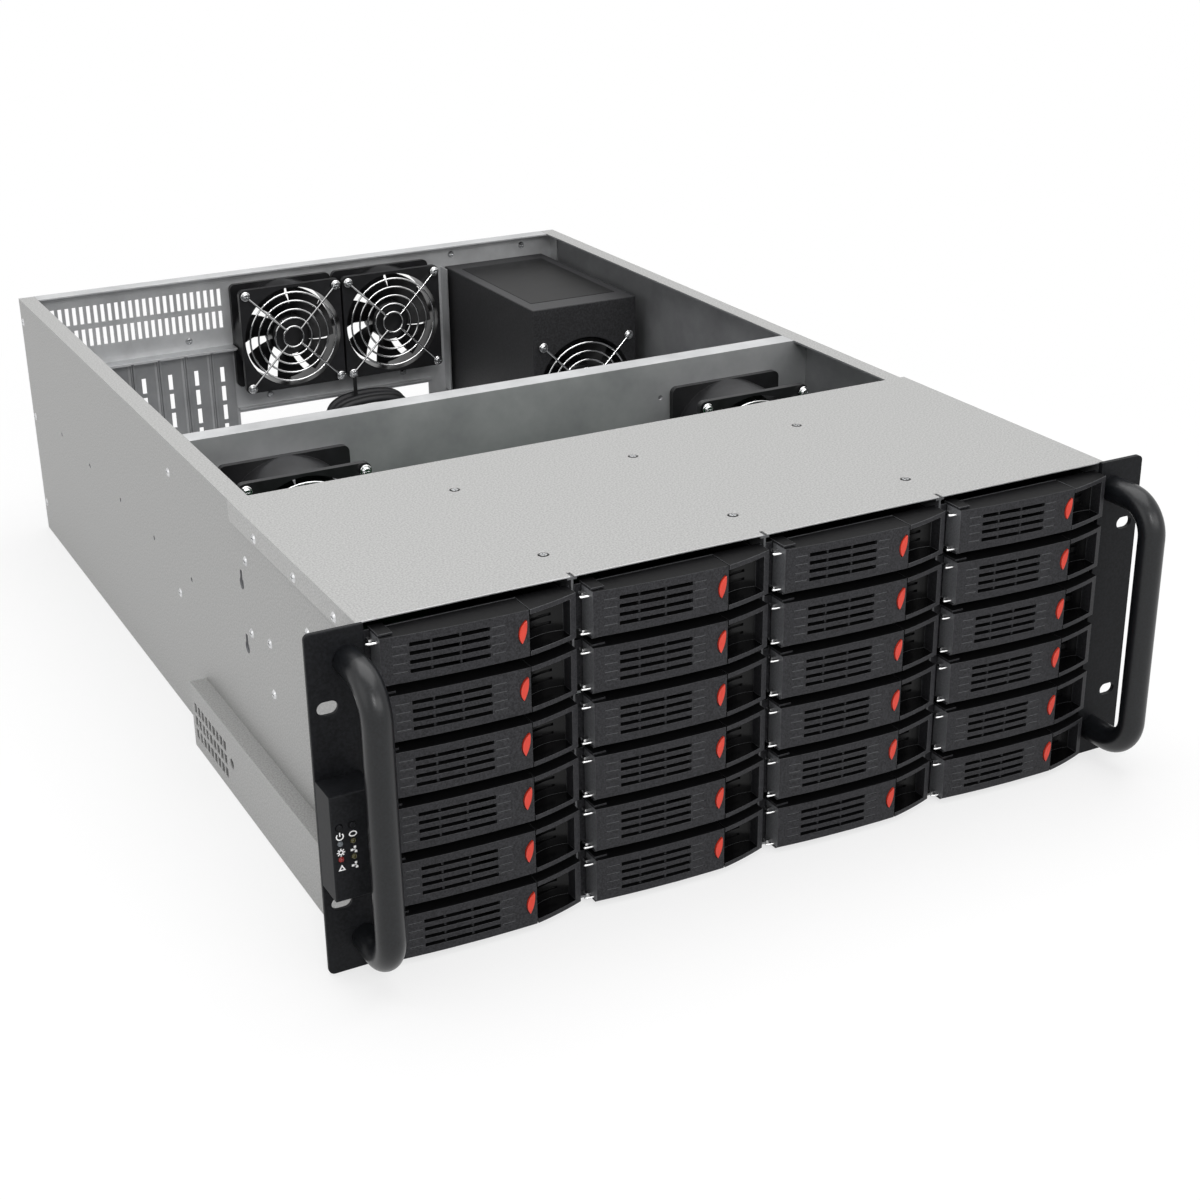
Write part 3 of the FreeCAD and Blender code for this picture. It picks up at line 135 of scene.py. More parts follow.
def startTree(name, sizes):
    tree = bpy.data.node_groups.new(name, "GeometryNodeTree")
    tree.interface.new_socket("Geometry", in_out="INPUT", socket_type="NodeSocketGeometry")
    for label, kind in sizes:
        tree.interface.new_socket(label, in_out="INPUT", socket_type="NodeSocket" + kind)
    tree.interface.new_socket("Geometry", in_out="OUTPUT", socket_type="NodeSocketGeometry")
    return tree, tree.nodes.new("NodeGroupInput").outputs


def endTree(tree, shape, material):
    real = addNode(tree, "GeometryNodeRealizeInstances", {"Geometry": shape})
    made = addNode(tree, "GeometryNodeSetMaterial", {"Geometry": real.outputs[0], "Material": material})
    addNode(tree, "NodeGroupOutput", {"Geometry": made.outputs[0]})


def growOn(name, mesh, tree, values):
    piece = linkObject(name, mesh)
    modifier = piece.modifiers.new(name, "NODES")
    modifier.node_group = tree
    for item in tree.interface.items_tree:
        if item.in_out == "INPUT" and item.name in values:
            modifier[item.identifier] = values[item.name]
    return settle(piece)


def dress(piece, body, slot, *replaced):
    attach(piece, body)
    if replaced:
        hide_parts(*replaced)
    return piece


# Finishes: in a pattern, spots and grain give a width in millimetres and the noise detail, and relief
# gives a depth in millimetres and its strength

def rampColours(ramp, positions, colours):
    for element, position, colour in zip(ramp.color_ramp.elements, positions, colours):
        element.position = position
        element.color = srgb(colour)


def mottled(name, colours, pattern, **sockets):  # colour, gloss and relief that follow fine noise
    material, tree, shader = startMaterial(name, **sockets)
    place = addNode(tree, "ShaderNodeTexCoord").outputs["Object"]
    layers = []
    for spot, detail in [pattern[layer] for layer in ("spots", "grain") if layer in pattern]:
        noise = addNode(tree, "ShaderNodeTexNoise", {  # at scale 1 a spot is half a metre wide
            "Vector": place, "Scale": 0.5 / (spot * mm), "Detail": detail, "Roughness": 0.6})
        layers.append(noise.outputs["Fac"])
    spots, grain = layers[0], layers[-1]
    ramp = addNode(tree, "ShaderNodeValToRGB", {"Fac": spots})
    rampColours(ramp, pattern["ramp"], colours)
    tree.links.new(ramp.outputs["Color"], shader.inputs["Base Color"])
    if "gloss" in pattern:
        low, high = pattern["gloss"]
        rough = addNode(tree, "ShaderNodeMapRange", {"Value": grain, "To Min": low, "To Max": high})
        tree.links.new(rough.outputs["Result"], shader.inputs["Roughness"])
    depth, strength = pattern["relief"]
    bump = addNode(tree, "ShaderNodeBump", {"Height": grain, "Distance": depth * mm, "Strength": strength})
    tree.links.new(bump.outputs["Normal"], shader.inputs["Normal"])
    return material


def speckledSheet(name, dark, light):
    # Pre-coated steel sheet: matt silver grey with a fine sparkle of lighter and darker flakes.
    # Real flakes are finer than half a millimetre; they are drawn this coarse to show.
    pattern = {"spots": (0.5, 2.0), "ramp": (0.38, 0.62), "relief": (0.03, 0.15)}
    return mottled(name, (dark, light), pattern, Metallic=0.2, Roughness=0.5)


def zincSheet(name, dark, light, roughness, metal):
    # Hot-dip zinc sheet: dull metal with faint clouds and rolling grain, a dim mirror of its surroundings.
    pattern = {"spots": (16.0, 4.0), "ramp": (0.3, 0.7), "grain": (0.7, 2.0),
               "gloss": (roughness - 0.06, roughness + 0.08), "relief": (0.03, 0.2)}
    return mottled(name, (dark, light), pattern, Metallic=metal)


def texturedBlack(name, dark, light, grit, roughness, specular, depth=0.12):
    # Fine-textured black: the grit scatters light into a soft sheen with a dusty grain.
    pattern = {"spots": (grit, 2.0), "ramp": (0.35, 0.68),
               "gloss": (roughness - 0.05, roughness + 0.08), "relief": (depth, 0.35)}
    return mottled(name, (dark, light), pattern, Specular_IOR_Level=specular)


def platedMetal(name, dark, light, roughness):
    # Bright plating: almost a mirror, with slight waves that break up the reflection.
    pattern = {"spots": (3.0, 2.0), "ramp": (0.3, 0.7), "relief": (0.02, 0.15)}
    return mottled(name, (dark, light), pattern, Metallic=1.0, Roughness=roughness)


def smoothPlastic(name, dark, light, roughness, specular=0.5):
    # Smooth moulded plastic: even colour with slight flow marks and a soft highlight.
    pattern = {"spots": (6.0, 2.0), "ramp": (0.3, 0.7), "relief": (0.02, 0.2)}
    return mottled(name, (dark, light), pattern, Roughness=roughness, Specular_IOR_Level=specular)


def tintedLens(name, tint):
    # Polished tinted lens of a small lamp: coloured in the body, with a clear sharp highlight on the dome.
    sockets = {"Base_Color": srgb(tint), "Roughness": 0.1, "Transmission_Weight": 0.35}
    return startMaterial(name, **sockets)[0]


def wovenSleeve(name, dark, light):
    # Braided polyester sleeve: strands that cross, dull between them and shiny on their backs.
    # They are drawn about 4 mm wide and nearly along the lead, far coarser than a real braid.
    material, tree, shader = startMaterial(name, Roughness=0.55, Specular_IOR_Level=0.35)
    uv = addNode(tree, "ShaderNodeTexCoord").outputs["UV"]
    strands = []
    for lean in (math.radians(45), math.radians(-45)):
        turned = addNode(tree, "ShaderNodeMapping", {"Vector": uv, "Rotation": (0, 0, lean)})
        wave = addNode(tree, "ShaderNodeTexWave", {"Vector": turned.outputs["Vector"], "Scale": 1.0})
        strands.append(wave.outputs["Fac"])
    crossed = addNode(tree, "ShaderNodeMath", {0: strands[0], 1: strands[1]}, operation="MAXIMUM")
    weave = crossed.outputs["Value"]
    ramp = addNode(tree, "ShaderNodeValToRGB", {"Fac": weave})
    rampColours(ramp, (0.2, 0.9), (dark, light))
    tree.links.new(ramp.outputs["Color"], shader.inputs["Base Color"])
    bump = addNode(tree, "ShaderNodeBump", {"Height": weave, "Distance": 0.5 * mm, "Strength": 0.8})
    tree.links.new(bump.outputs["Normal"], shader.inputs["Normal"])
    return material


finish = {
    "steel": speckledSheet("pre_coated_steel", "#949493", "#ADADAC"),
    # Painted light: a lighter copy of the steel for the cover's folded sides.
    "litCoverSide": speckledSheet("pre_coated_steel_painted_light", "#A1A1A0", "#BABAB9"),
    "zinc": zincSheet("zinc_sheet", "#9C9D9F", "#B3B4B5", 0.42, 0.5),
    # Painted shade: a darker zinc for the inside of the tub.
    "shadedInnerZinc": zincSheet("inner_zinc_painted_shade", "#838486", "#9A9B9D", 0.42, 0.5),
    # Painted light: a lighter copy of the zinc for the rear panel.
    "litRearZinc": zincSheet("rear_zinc_painted_light", "#B6B7B8", "#D2D3D4", 0.4, 0.35),
    # Painted highlight: a brighter zinc for up-facing folds and long cut edges.
    "zincHighlight": zincSheet("zinc_painted_highlight", "#AEAFB0", "#C9CACB", 0.4, 0.8),
    "cageZinc": zincSheet("shaded_zinc_cage", "#5E5F61", "#727375", 0.5, 0.5),
    "powder": texturedBlack("black_powder_coat", "#101113", "#1B1C1F", 0.7, 0.5, 0.14),
    "tube": texturedBlack("satin_black_tube", "#0D0E10", "#15171A", 0.6, 0.3, 0.4, 0.02),
    "psu": texturedBlack("charcoal_psu_coat", "#2A2A2B", "#38383A", 0.7, 0.48, 0.2),
    "abs": texturedBlack("textured_black_abs", "#1E1E20", "#353538", 0.45, 0.5, 0.18, 0.06),
    # Painted highlight: a lighter black for the rounded edges of the trays.
    "edgeHighlightAbs": texturedBlack("black_abs_painted_edge_highlight", "#434446", "#545557", 0.45, 0.4, 0.3),
    # Painted light: a lighter black for groove floors and the levers' left end faces.
    "litAbs": texturedBlack("black_abs_painted_light", "#58595B", "#6C6D70", 0.45, 0.45, 0.2),
    # Painted shade: a darker black for tray faces that point up.
    "shadeAbs": texturedBlack("black_abs_painted_shade", "#0B0B0C", "#131314", 0.7, 0.5, 0.1),
    "glossAbs": smoothPlastic("polished_black_abs", "#070708", "#0C0C0D", 0.22, 0.22),
    "redAbs": smoothPlastic("red_abs", "#C9301C", "#D83A24", 0.36),
    "fan": smoothPlastic("black_pbt_fan", "#161617", "#222224", 0.36, 0.4),
    "label": smoothPlastic("black_polyester_label", "#0A0A0B", "#101011", 0.5, 0.2),
    "ink": smoothPlastic("white_panel_ink", "#EFEFEF", "#F8F8F8", 0.6),
    # Painted shade: a dark colour for the tub's side behind the mesh.
    "meshShade": smoothPlastic("black_painted_shade_behind_mesh", "#151516", "#202021", 0.9, 0.1),
    "board": smoothPlastic("green_solder_mask", "#1B4D2D", "#23603A", 0.35),
    "socket": smoothPlastic("black_nylon_socket", "#151516", "#1F1F20", 0.5, 0.3),
    "claw": platedMetal("nickel_claw", "#D8D8D8", "#F2F2F2", 0.22),
    "chrome": platedMetal("chrome_wire", "#CFCFCF", "#EDEDED", 0.1),
    "screw": platedMetal("zinc_screw", "#B9BABB", "#DCDDDE", 0.24),
    "rim": platedMetal("shaded_zinc_rim", "#242425", "#303031", 0.4),
    "clearLens": tintedLens("clear_lens", "#6E757B"),
    "redLens": tintedLens("red_lens", "#9E1D16"),
    "amberLens": tintedLens("amber_lens", "#4E4A1C"),
    "sleeve": wovenSleeve("braided_polyester_sleeve", "#0B0B0C", "#2A2A2C"),
}
print("finishes made:", len(finish))


# Camera, light and floor

shot = {"place": (-0.4897, -1.0591, 0.5302), "azimuth": -27.85, "elevation": 23.45, "roll": -0.7,
        "focalPixels": 1950.0, "imagePixels": 1200, "sensor": 36.0, "clip": (0.02, 40)}
lamps = (
    {"name": "top_softbox", "place": (0.1, 0.1, 1.7), "target": (0, 0, 0.1),
     "size": (2.0, 1.8), "power": 26},
    {"name": "left_softbox", "place": (-1.9, -0.3, 0.9), "target": (-0.2, 0, 0.1),
     "size": (1.4, 1.2), "power": 4},
    {"name": "front_softbox", "place": (0.5, -2.1, 1.2), "target": (0, -0.3, 0.1),
     "size": (1.6, 1.0), "power": 11},
    {"name": "spot_box", "place": (-0.6, -1.9, 1.35), "target": (-0.1, -0.3, 0.1),
     "size": (0.3, 0.4), "power": 8},
)
surround = {"white": "#FFFFFF", "paper": "#F4F4F4", "fill": 0.42, "floorSize": 9.0, "floorShade": 0.3,
            "fadeStart": 0.35, "fadeEnd": 0.85}


def makeCamera():
    data = bpy.data.cameras.new("photo_camera")
    data.sensor_width = shot["sensor"]
    data.lens = shot["sensor"] * shot["focalPixels"] / shot["imagePixels"]
    data.clip_start, data.clip_end = shot["clip"]
    camera = linkObject("photo_camera", data)
    turn, tilt = math.radians(shot["azimuth"]), math.radians(shot["elevation"])
    back = Vector((math.sin(turn) * math.cos(tilt), -math.cos(turn) * math.cos(tilt), math.sin(tilt)))
    camera.rotation_mode = "QUATERNION"
    roll = Matrix.Rotation(math.radians(shot["roll"]), 3, "Z").to_quaternion()
    camera.rotation_quaternion = (-back).to_track_quat("-Z", "Y") @ roll
    camera.location = shot["place"]
    bpy.context.scene.camera = camera


def backgroundRay(tree):  # 1 for what the eye, a mirror or glass sees
    path = addNode(tree, "ShaderNodeLightPath").outputs
    seen = path["Is Camera Ray"]
    for ray in ("Is Glossy Ray", "Is Transmission Ray"):
        seen = addNode(tree, "ShaderNodeMath", {0: seen, 1: path[ray]}, operation="MAXIMUM").outputs[0]
    return seen


def makeLight():
    for lamp in lamps:
        data = bpy.data.lights.new(lamp["name"], "AREA")
        data.shape = "RECTANGLE"
        data.size, data.size_y = lamp["size"]
        data.energy = lamp["power"]
        item = linkObject(lamp["name"], data)
        item.location = lamp["place"]
        aim = Vector(lamp["target"]) - Vector(lamp["place"])
        item.rotation_euler = aim.to_track_quat("-Z", "Y").to_euler()
    world = bpy.data.worlds.new("studio")
    bpy.context.scene.world = world
    world.use_nodes = True
    tree = world.node_tree
    tree.nodes.clear()
    level = addNode(tree, "ShaderNodeMapRange", {
        "Value": backgroundRay(tree), "To Min": surround["fill"], "To Max": 1.0})
    sky = addNode(tree, "ShaderNodeBackground", {
        "Color": srgb(surround["white"]), "Strength": level.outputs["Result"]})
    addNode(tree, "ShaderNodeOutputWorld", {"Surface": sky.outputs["Background"]})


def makeFloor():
    half, ground = surround["floorSize"] / 2, cadBox[0].z
    mesh = bpy.data.meshes.new("studio_floor")
    corners = [(x * half, y * half, ground) for x, y in ((-1, -1), (1, -1), (1, 1), (-1, 1))]
    mesh.from_pydata(corners, [], [(0, 1, 2, 3)])
    floor = linkObject("studio_floor", mesh)
    material = bpy.data.materials.new("white_paper_floor")
    material.use_nodes = True
    tree = material.node_tree
    tree.nodes.clear()
    paper = addNode(tree, "ShaderNodeBsdfDiffuse", {"Color": srgb(surround["paper"])})
    glow = addNode(tree, "ShaderNodeEmission", {"Color": srgb(surround["white"]), "Strength": 1.0})
    place = addNode(tree, "ShaderNodeTexCoord").outputs["Object"]
    away = addNode(tree, "ShaderNodeVectorMath", {0: place}, operation="LENGTH").outputs["Value"]
    pure = addNode(tree, "ShaderNodeMapRange", {  # the paper fades into pure white away from the case
        "Value": away, "From Min": surround["fadeStart"], "From Max": surround["fadeEnd"],
        "To Min": 1 - surround["floorShade"], "To Max": 1.0}, interpolation_type="SMOOTHSTEP")
    share = addNode(tree, "ShaderNodeMath", {
        0: backgroundRay(tree), 1: pure.outputs["Result"]}, operation="MULTIPLY")
    mixed = addNode(tree, "ShaderNodeMixShader", {
        "Fac": share.outputs[0], 1: paper.outputs["BSDF"], 2: glow.outputs["Emission"]})
    addNode(tree, "ShaderNodeOutputMaterial", {"Surface": mixed.outputs["Shader"]})
    mesh.materials.append(material)


bpy.context.scene.view_settings.view_transform = "Standard"
makeCamera()
makeLight()
makeFloor()
print("camera, light and floor placed")


# CAD solids with their edges rounded as the real folds and mouldings are: lengths in millimetres, angles in
# degrees, and facing and upward are the least share of a normal along an axis

sheet = {"merge": 0.01, "flatAngle": 1.0, "sharpAngle": 38.0, "skin": 0.02, "facing": 0.9, "upward": 0.8,
         "frontEdge": 1.0, "holeLength": 12.0, "holeBottom": 3.0, "sliverWidth": 3.0, "sliverHeight": 60.0}
caseSheets = {  # edge in millimetres, slot and main finish
    "chassis_tub": (0.45, "speckled_grey_sheet", "steel"),
    "drive_bay_cover": (0.4, "speckled_grey_sheet", "steel"),
    "side_channel": (0.45, "speckled_grey_sheet", "steel"),
    "mid_wall": (0.45, "zinc_sheet", "zinc"),
    "rear_panel": (0.3, "zinc_sheet", "litRearZinc"),
    "slot_covers": (0.25, "zinc_sheet", "zinc"),
    "left_ear": (0.5, "black_powder_coat", "powder"),
    "right_ear": (0.5, "black_powder_coat", "powder"),
    "control_box": (0.4, "black_powder_coat", "powder"),
    "power_supply": (0.7, "psu_coat", "psu"),
    "rear_fan_frames": (0.4, "fan_plastic", "fan"),
    "mid_fan_frames": (0.4, "fan_plastic", "fan"),
}


def cleanCopy(node):
    work = bmesh.new()
    work.from_mesh(nodes[node].data)
    bmesh.ops.remove_doubles(work, verts=work.verts, dist=sheet["merge"] * mm)
    flat = math.radians(sheet["flatAngle"])
    bmesh.ops.dissolve_limit(work, angle_limit=flat, verts=work.verts, edges=work.edges)
    return work


def islands(work):  # lists of the faces that hang together, one list for each solid
    left, found = set(work.faces), []
    for first in work.faces:
        if first not in left:
            continue
        left.remove(first)
        stack, group = [first], []
        while stack:
            face = stack.pop()
            group.append(face)
            for edge in face.edges:
                for other in edge.link_faces:
                    if other in left:
                        left.remove(other)
                        stack.append(other)
        found.append(group)
    return found


def extent(faces):
    points = [v.co for face in faces for v in face.verts]
    low = Vector([min(p[i] for p in points) for i in range(3)])
    high = Vector([max(p[i] for p in points) for i in range(3)])
    return low, high


def roundedPiece(name, work, materials, body, edge, replaced, slot, edgeIndex=-1):
    mesh = meshFrom(work, name, *materials)
    piece = linkObject(name, mesh)
    sharp = math.radians(sheet["sharpAngle"])
    if edge:
        bevel = piece.modifiers.new("rounded_edges", "BEVEL")
        bevel.width = edge
        bevel.segments = 2
        bevel.limit_method = "ANGLE"
        bevel.angle_limit = sharp
        bevel.use_clamp_overlap = True
        bevel.loop_slide = False
        bevel.material = edgeIndex  # which finish the rounded edges show, or -1 for that of their faces
    for polygon in mesh.polygons:
        polygon.use_smooth = True
    mesh.set_sharp_from_angle(angle=sharp)
    flat = piece.modifiers.new("flat_faces", "WEIGHTED_NORMAL")
    flat.keep_sharp = True
    return dress(settle(piece), body, slot, replaced)


def meshWindow():  # y and z limits of the mesh in the side channel, from the small walls of its holes
    work = cleanCopy("side_channel")
    walls = []
    for face in work.faces:
        low, high = extent([face])
        short = high.y - low.y < sheet["holeLength"] * mm
        if abs(face.normal.z) > sheet["facing"] and short and low.z > sheet["holeBottom"] * mm:
            walls.append(face)
    low, high = extent(walls)
    work.free()
    return low, high


def shadeBehindMesh(work, index):  # painted shade: the tub's side is painted dark where the mesh lets it show
    low, high = meshWindow()
    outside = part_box("chassis_tub")[0].x + sheet["skin"] * mm
    for axis, corner in ((1, low), (1, high), (2, low), (2, high)):
        normal = Vector((0, 0, 0))
        normal[axis] = 1
        turned = [f for f in work.faces if f.normal.x < -sheet["facing"]]
        side = [f for f in turned if f.calc_center_median().x < outside]
        near = {e for f in side for e in f.edges}
        corners = {v for f in side for v in f.verts}
        bmesh.ops.bisect_plane(work, geom=[*side, *near, *corners], plane_co=corner, plane_no=normal)
    for face in work.faces:
        middle = face.calc_center_median()
        inside = low.y < middle.y < high.y and low.z < middle.z < high.z
        if inside and middle.x < outside:
            face.material_index = index


def markTub(work, high):  # the outside and the top flanges are coated; the inside is bare zinc, painted darker as shade
    skin = sheet["skin"] * mm
    for face in work.faces:
        middle = face.calc_center_median()
        flange = face.normal.z > sheet["facing"] and middle.z > high.z - skin
        face.material_index = 0 if flange or abs(middle.x) > high.x - skin else 1
    shadeBehindMesh(work, 2)


def markCover(work, low):  # painted light: the folded sides get a lighter copy of the steel than the top; the cut front edge is bare and gets the bright zinc as a painted highlight
    front = low.y + sheet["frontEdge"] * mm
    for face in work.faces:
        bare = face.normal.y < -sheet["facing"] and face.calc_center_median().y < front
        face.material_index = 2 if bare else 1 if abs(face.normal.x) > sheet["facing"] else 0


def markZinc(work):  # painted highlight: the folds that face up, and the long cut edges, get a brighter zinc
    for face in work.faces:
        low, high = extent([face])
        slim = high.x - low.x < sheet["sliverWidth"] * mm and high.z - low.z > sheet["sliverHeight"] * mm
        sliver = slim and face.normal.y < -sheet["facing"]
        face.material_index = 1 if sliver or face.normal.z > sheet["upward"] else 0


def makeCasePieces():
    for node, (edge, slot, name) in caseSheets.items():
        work = cleanCopy(node)
        work.normal_update()
        low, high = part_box(node)
        finishes = [name]
        if node == "chassis_tub":
            markTub(work, high)
            finishes += ["shadedInnerZinc", "meshShade"]
        elif node == "drive_bay_cover":
            markCover(work, low)
            finishes += ["litCoverSide", "zincHighlight"]
        elif slot == "zinc_sheet":
            markZinc(work)
            finishes.append("zincHighlight")
        roundedPiece(node + "_sheet", work, [finish[f] for f in finishes], "case", edge * mm, node, slot)


makeCasePieces()
print("case pieces rounded:", len(caseSheets))


# Drive trays: places across a tray are measured from the left end of its bay

tray = {"edge": 0.35, "margin": 1.4, "latchHeight": 14.0, "leverWidth": (60.0, 90.0), "bezelDepth": 25.0,
        "clawEnd": 2.9, "leverEnd": 4.0, "pocket": (77.3, 100.9), "pocketHalf": 9.3,
        "grooveLength": (6.0, 8.0), "grooveHeight": 0.9, "forward": -0.5, "slanted": 0.7,
        "finishes": ("abs", "redAbs", "claw", "shadeAbs", "glossAbs", "litAbs", "edgeHighlightAbs")}
claw = {"start": -0.4, "end": 4.8, "front": -6.4, "earFront": -310.0, "thick": 1.2, "roundness": 2,
        "heights": (8.4, -10.6), "hook": 0.8}


def isGroove(face):  # the floor of a groove beside the vent slots
    low, high = extent([face])
    long, tall = (high.x - low.x) / mm, (high.z - low.z) / mm
    shortest, longest = tray["grooveLength"]
    return shortest < long < longest and tall < tray["grooveHeight"] and face.normal.y < tray["forward"]


def bayPlace(node):  # left end of the bay, and middle height of its tray
    low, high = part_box(node)
    return low.x - tray["margin"] * mm, (low.z + high.z) / 2


def makeTray(node):
    work = cleanCopy(node)
    work.normal_update()
    left, middle = bayPlace(node.replace("lever", "tray").replace("latch", "tray"))
    pocketLeft, pocketRight = (left + edge * mm for edge in tray["pocket"])
    pocketHalf = tray["pocketHalf"] * mm
    index = {name: number for number, name in enumerate(tray["finishes"])}
    for group in islands(work):
        bottom, top = extent(group)
        size = (top - bottom) / mm
        isLatch = max(size.x, size.z) < tray["latchHeight"]
        isLever = tray["leverWidth"][0] < size.x < tray["leverWidth"][1]
        isBezel = not isLatch and not isLever and size.y < tray["bezelDepth"]
        for face in group:
            place = face.calc_center_median()
            inPocket = pocketLeft < place.x < pocketRight and abs(place.z - middle) < pocketHalf
            fromEnd = (place.x - bottom.x) / mm
            endFace = face.normal.x < -tray["slanted"] and fromEnd < tray["leverEnd"]
            if isLatch:
                face.material_index = index["redAbs"]
            elif isLever and fromEnd < tray["clawEnd"]:
                face.material_index = index["claw"]
            elif isBezel and inPocket:
                face.material_index = index["glossAbs"]
            # Painted light: groove floors and the lever's left end faces get a lighter black.
            elif isLever and (isGroove(face) or endFace):
                face.material_index = index["litAbs"]
            # Painted shade: faces that point up get a darker black.
            elif face.normal.z > tray["slanted"]:  # what faces up lies in the shade of the tray above
                face.material_index = index["shadeAbs"]
    materials = [finish[name] for name in tray["finishes"]]
    latch = node.startswith("latch")
    slot = "red_moulding" if latch else "black_moulding"
    # Painted highlight: the rounded edges of black mouldings get a lighter black; latches keep their red.
    edgeIndex = index["redAbs" if latch else "edgeHighlightAbs"]
    edge = tray["edge"] * mm
    piece = roundedPiece(node + "_moulding", work, materials, node, edge, node, slot, edgeIndex)
    for face in piece.data.polygons:  # the painted edge highlight is left off the edges deep inside the pocket, which take the polished black
        across = pocketLeft < face.center.x < pocketRight
        deep = across and abs(face.center.z - middle) < pocketHalf - edge
        if deep and face.material_index == index["edgeHighlightAbs"]:
            face.material_index = index["glossAbs"]


def makeClaws(name, body):  # two bright hooks at the hinge end of each lever
    left, middle = bayPlace("tray_" + name)
    front = (claw["front"] + claw["earFront"]) * mm
    thick = claw["thick"] * mm
    start, end = left + claw["start"] * mm, left + claw["end"] * mm
    runs = []
    for height in claw["heights"]:
        z = middle + height * mm + thick / 2
        runs.append([(start, front + claw["hook"] * mm, z), (start, front, z), (end, front, z)])
    dress(tubeAlong(f"claws_{name}", runs, thick, claw["roundness"], finish["claw"]), body, "screw_zinc")


for column in columns:
    for row in rows:
        makeTray(f"tray_{column}{row}")
    for part in ("lever", "latch"):
        makeTray(f"{part}_{column}1")
    for row in rows:
        makeClaws(f"{column}{row}", f"lever_{column}1" if row == 1 else f"tray_{column}{row}")
print("trays dressed")


# Wire guards: rings on spokes that end in a loop round each screw

guard = {"wire": 1.5, "rings": 5, "firstRing": 8.0, "ringPitch": 6.6, "corner": 50.56, "loop": 2.9,
         "spokes": 4, "ringSides": 48, "loopSides": 20, "wireSides": 8}


def guardTree():
    tree, given = startTree("wire_guard", [
        ("Rings", "Int"), ("First Ring", "Float"), ("Ring Pitch", "Float"), ("Wire", "Float"),
        ("Corner", "Float"), ("Loop", "Float")])
    index = addNode(tree, "GeometryNodeInputIndex").outputs[0]
    ringRadius = addNode(tree, "ShaderNodeMath", {
        0: index, 1: given["Ring Pitch"], 2: given["First Ring"]}, operation="MULTIPLY_ADD")
    centres = addNode(tree, "GeometryNodeMeshLine", {"Count": given["Rings"], "Offset": (0, 0, 0)})
    unit = addNode(tree, "GeometryNodeCurvePrimitiveCircle", {
        "Resolution": guard["ringSides"], "Radius": 1.0})
    rings = addNode(tree, "GeometryNodeInstanceOnPoints", {
        "Points": centres.outputs[0], "Instance": unit.outputs[0], "Scale": ringRadius.outputs[0]})
    front = addNode(tree, "ShaderNodeCombineXYZ", {"Z": given["Wire"]}).outputs[0]  # spokes lie on the rings
    inner = addNode(tree, "ShaderNodeCombineXYZ", {"X": given["First Ring"]}).outputs[0]
    loopStart = addNode(tree, "ShaderNodeMath", {0: given["Corner"], 1: given["Loop"]}, operation="SUBTRACT")
    outer = addNode(tree, "ShaderNodeCombineXYZ", {"X": loopStart.outputs[0]}).outputs[0]
    bar = addNode(tree, "GeometryNodeCurvePrimitiveLine", {"Start": inner, "End": outer})
    eye = addNode(tree, "GeometryNodeCurvePrimitiveCircle", {
        "Resolution": guard["loopSides"], "Radius": given["Loop"]})
    eyePlace = addNode(tree, "ShaderNodeCombineXYZ", {"X": given["Corner"]}).outputs[0]
    moved = addNode(tree, "GeometryNodeTransform", {"Geometry": eye.outputs[0], "Translation": eyePlace})
    spoke = addNode(tree, "GeometryNodeJoinGeometry", {0: [bar.outputs[0], moved.outputs[0]]})
    lifted = addNode(tree, "GeometryNodeTransform", {"Geometry": spoke.outputs[0], "Translation": front})
    turn = addNode(tree, "ShaderNodeMath", {  # spokes stand between the upright and the level
        0: index, 1: 2 * math.pi / guard["spokes"], 2: math.pi / guard["spokes"]}, operation="MULTIPLY_ADD")
    spin = addNode(tree, "ShaderNodeCombineXYZ", {"Z": turn.outputs[0]}).outputs[0]
    hubs = addNode(tree, "GeometryNodeMeshLine", {"Count": guard["spokes"], "Offset": (0, 0, 0)})
    spokes = addNode(tree, "GeometryNodeInstanceOnPoints", {
        "Points": hubs.outputs[0], "Instance": lifted.outputs[0], "Rotation": spin})
    lines = addNode(tree, "GeometryNodeJoinGeometry", {0: [rings.outputs[0], spokes.outputs[0]]})
    paths = addNode(tree, "GeometryNodeRealizeInstances", {"Geometry": lines.outputs[0]})
    half = addNode(tree, "ShaderNodeMath", {0: given["Wire"], 1: 0.5}, operation="MULTIPLY")
    section = addNode(tree, "GeometryNodeCurvePrimitiveCircle", {
        "Resolution": guard["wireSides"], "Radius": half.outputs[0]})
    wires = addNode(tree, "GeometryNodeCurveToMesh", {
        "Curve": paths.outputs[0], "Profile Curve": section.outputs[0], "Fill Caps": True})
    smooth = addNode(tree, "GeometryNodeSetShadeSmooth", {"Geometry": wires.outputs[0]})
    placed = addNode(tree, "GeometryNodeInstanceOnPoints", {
        "Points": given["Geometry"], "Instance": smooth.outputs[0], "Rotation": (math.pi / 2, 0, 0)})
    endTree(tree, placed.outputs[0], finish["chrome"])
    return tree


def makeGuards():
    work = cleanCopy("fan_guards")
    places = []
    for group in islands(work):
        low, high = extent(group)
        places.append(((low.x + high.x) / 2, high.y - guard["wire"] / 2 * mm, (low.z + high.z) / 2))
    work.free()
    mesh = bpy.data.meshes.new("fan_wire_guards")
    mesh.from_pydata(places, [], [])
    piece = growOn("fan_wire_guards", mesh, guardTree(), {
        "Rings": guard["rings"], "First Ring": guard["firstRing"] * mm, "Ring Pitch": guard["ringPitch"] * mm,
        "Wire": guard["wire"] * mm, "Corner": guard["corner"] * mm, "Loop": guard["loop"] * mm})
    dress(piece, "case", "chrome_wire", "fan_guards")
    return len(places)


print("wire guards:", makeGuards())


# Screw heads, each with a cross recess, where the CAD heads are

screw = {"radius": 2.8, "height": 1.6, "sides": 20, "crown": 0.66, "crossLength": 0.62, "crossWidth": 0.16,
         "flank": (0.1, 0.95), "rearWall": ((124, 167), (186, 167), (-34, 76), (78, 77), (-94, 127))}


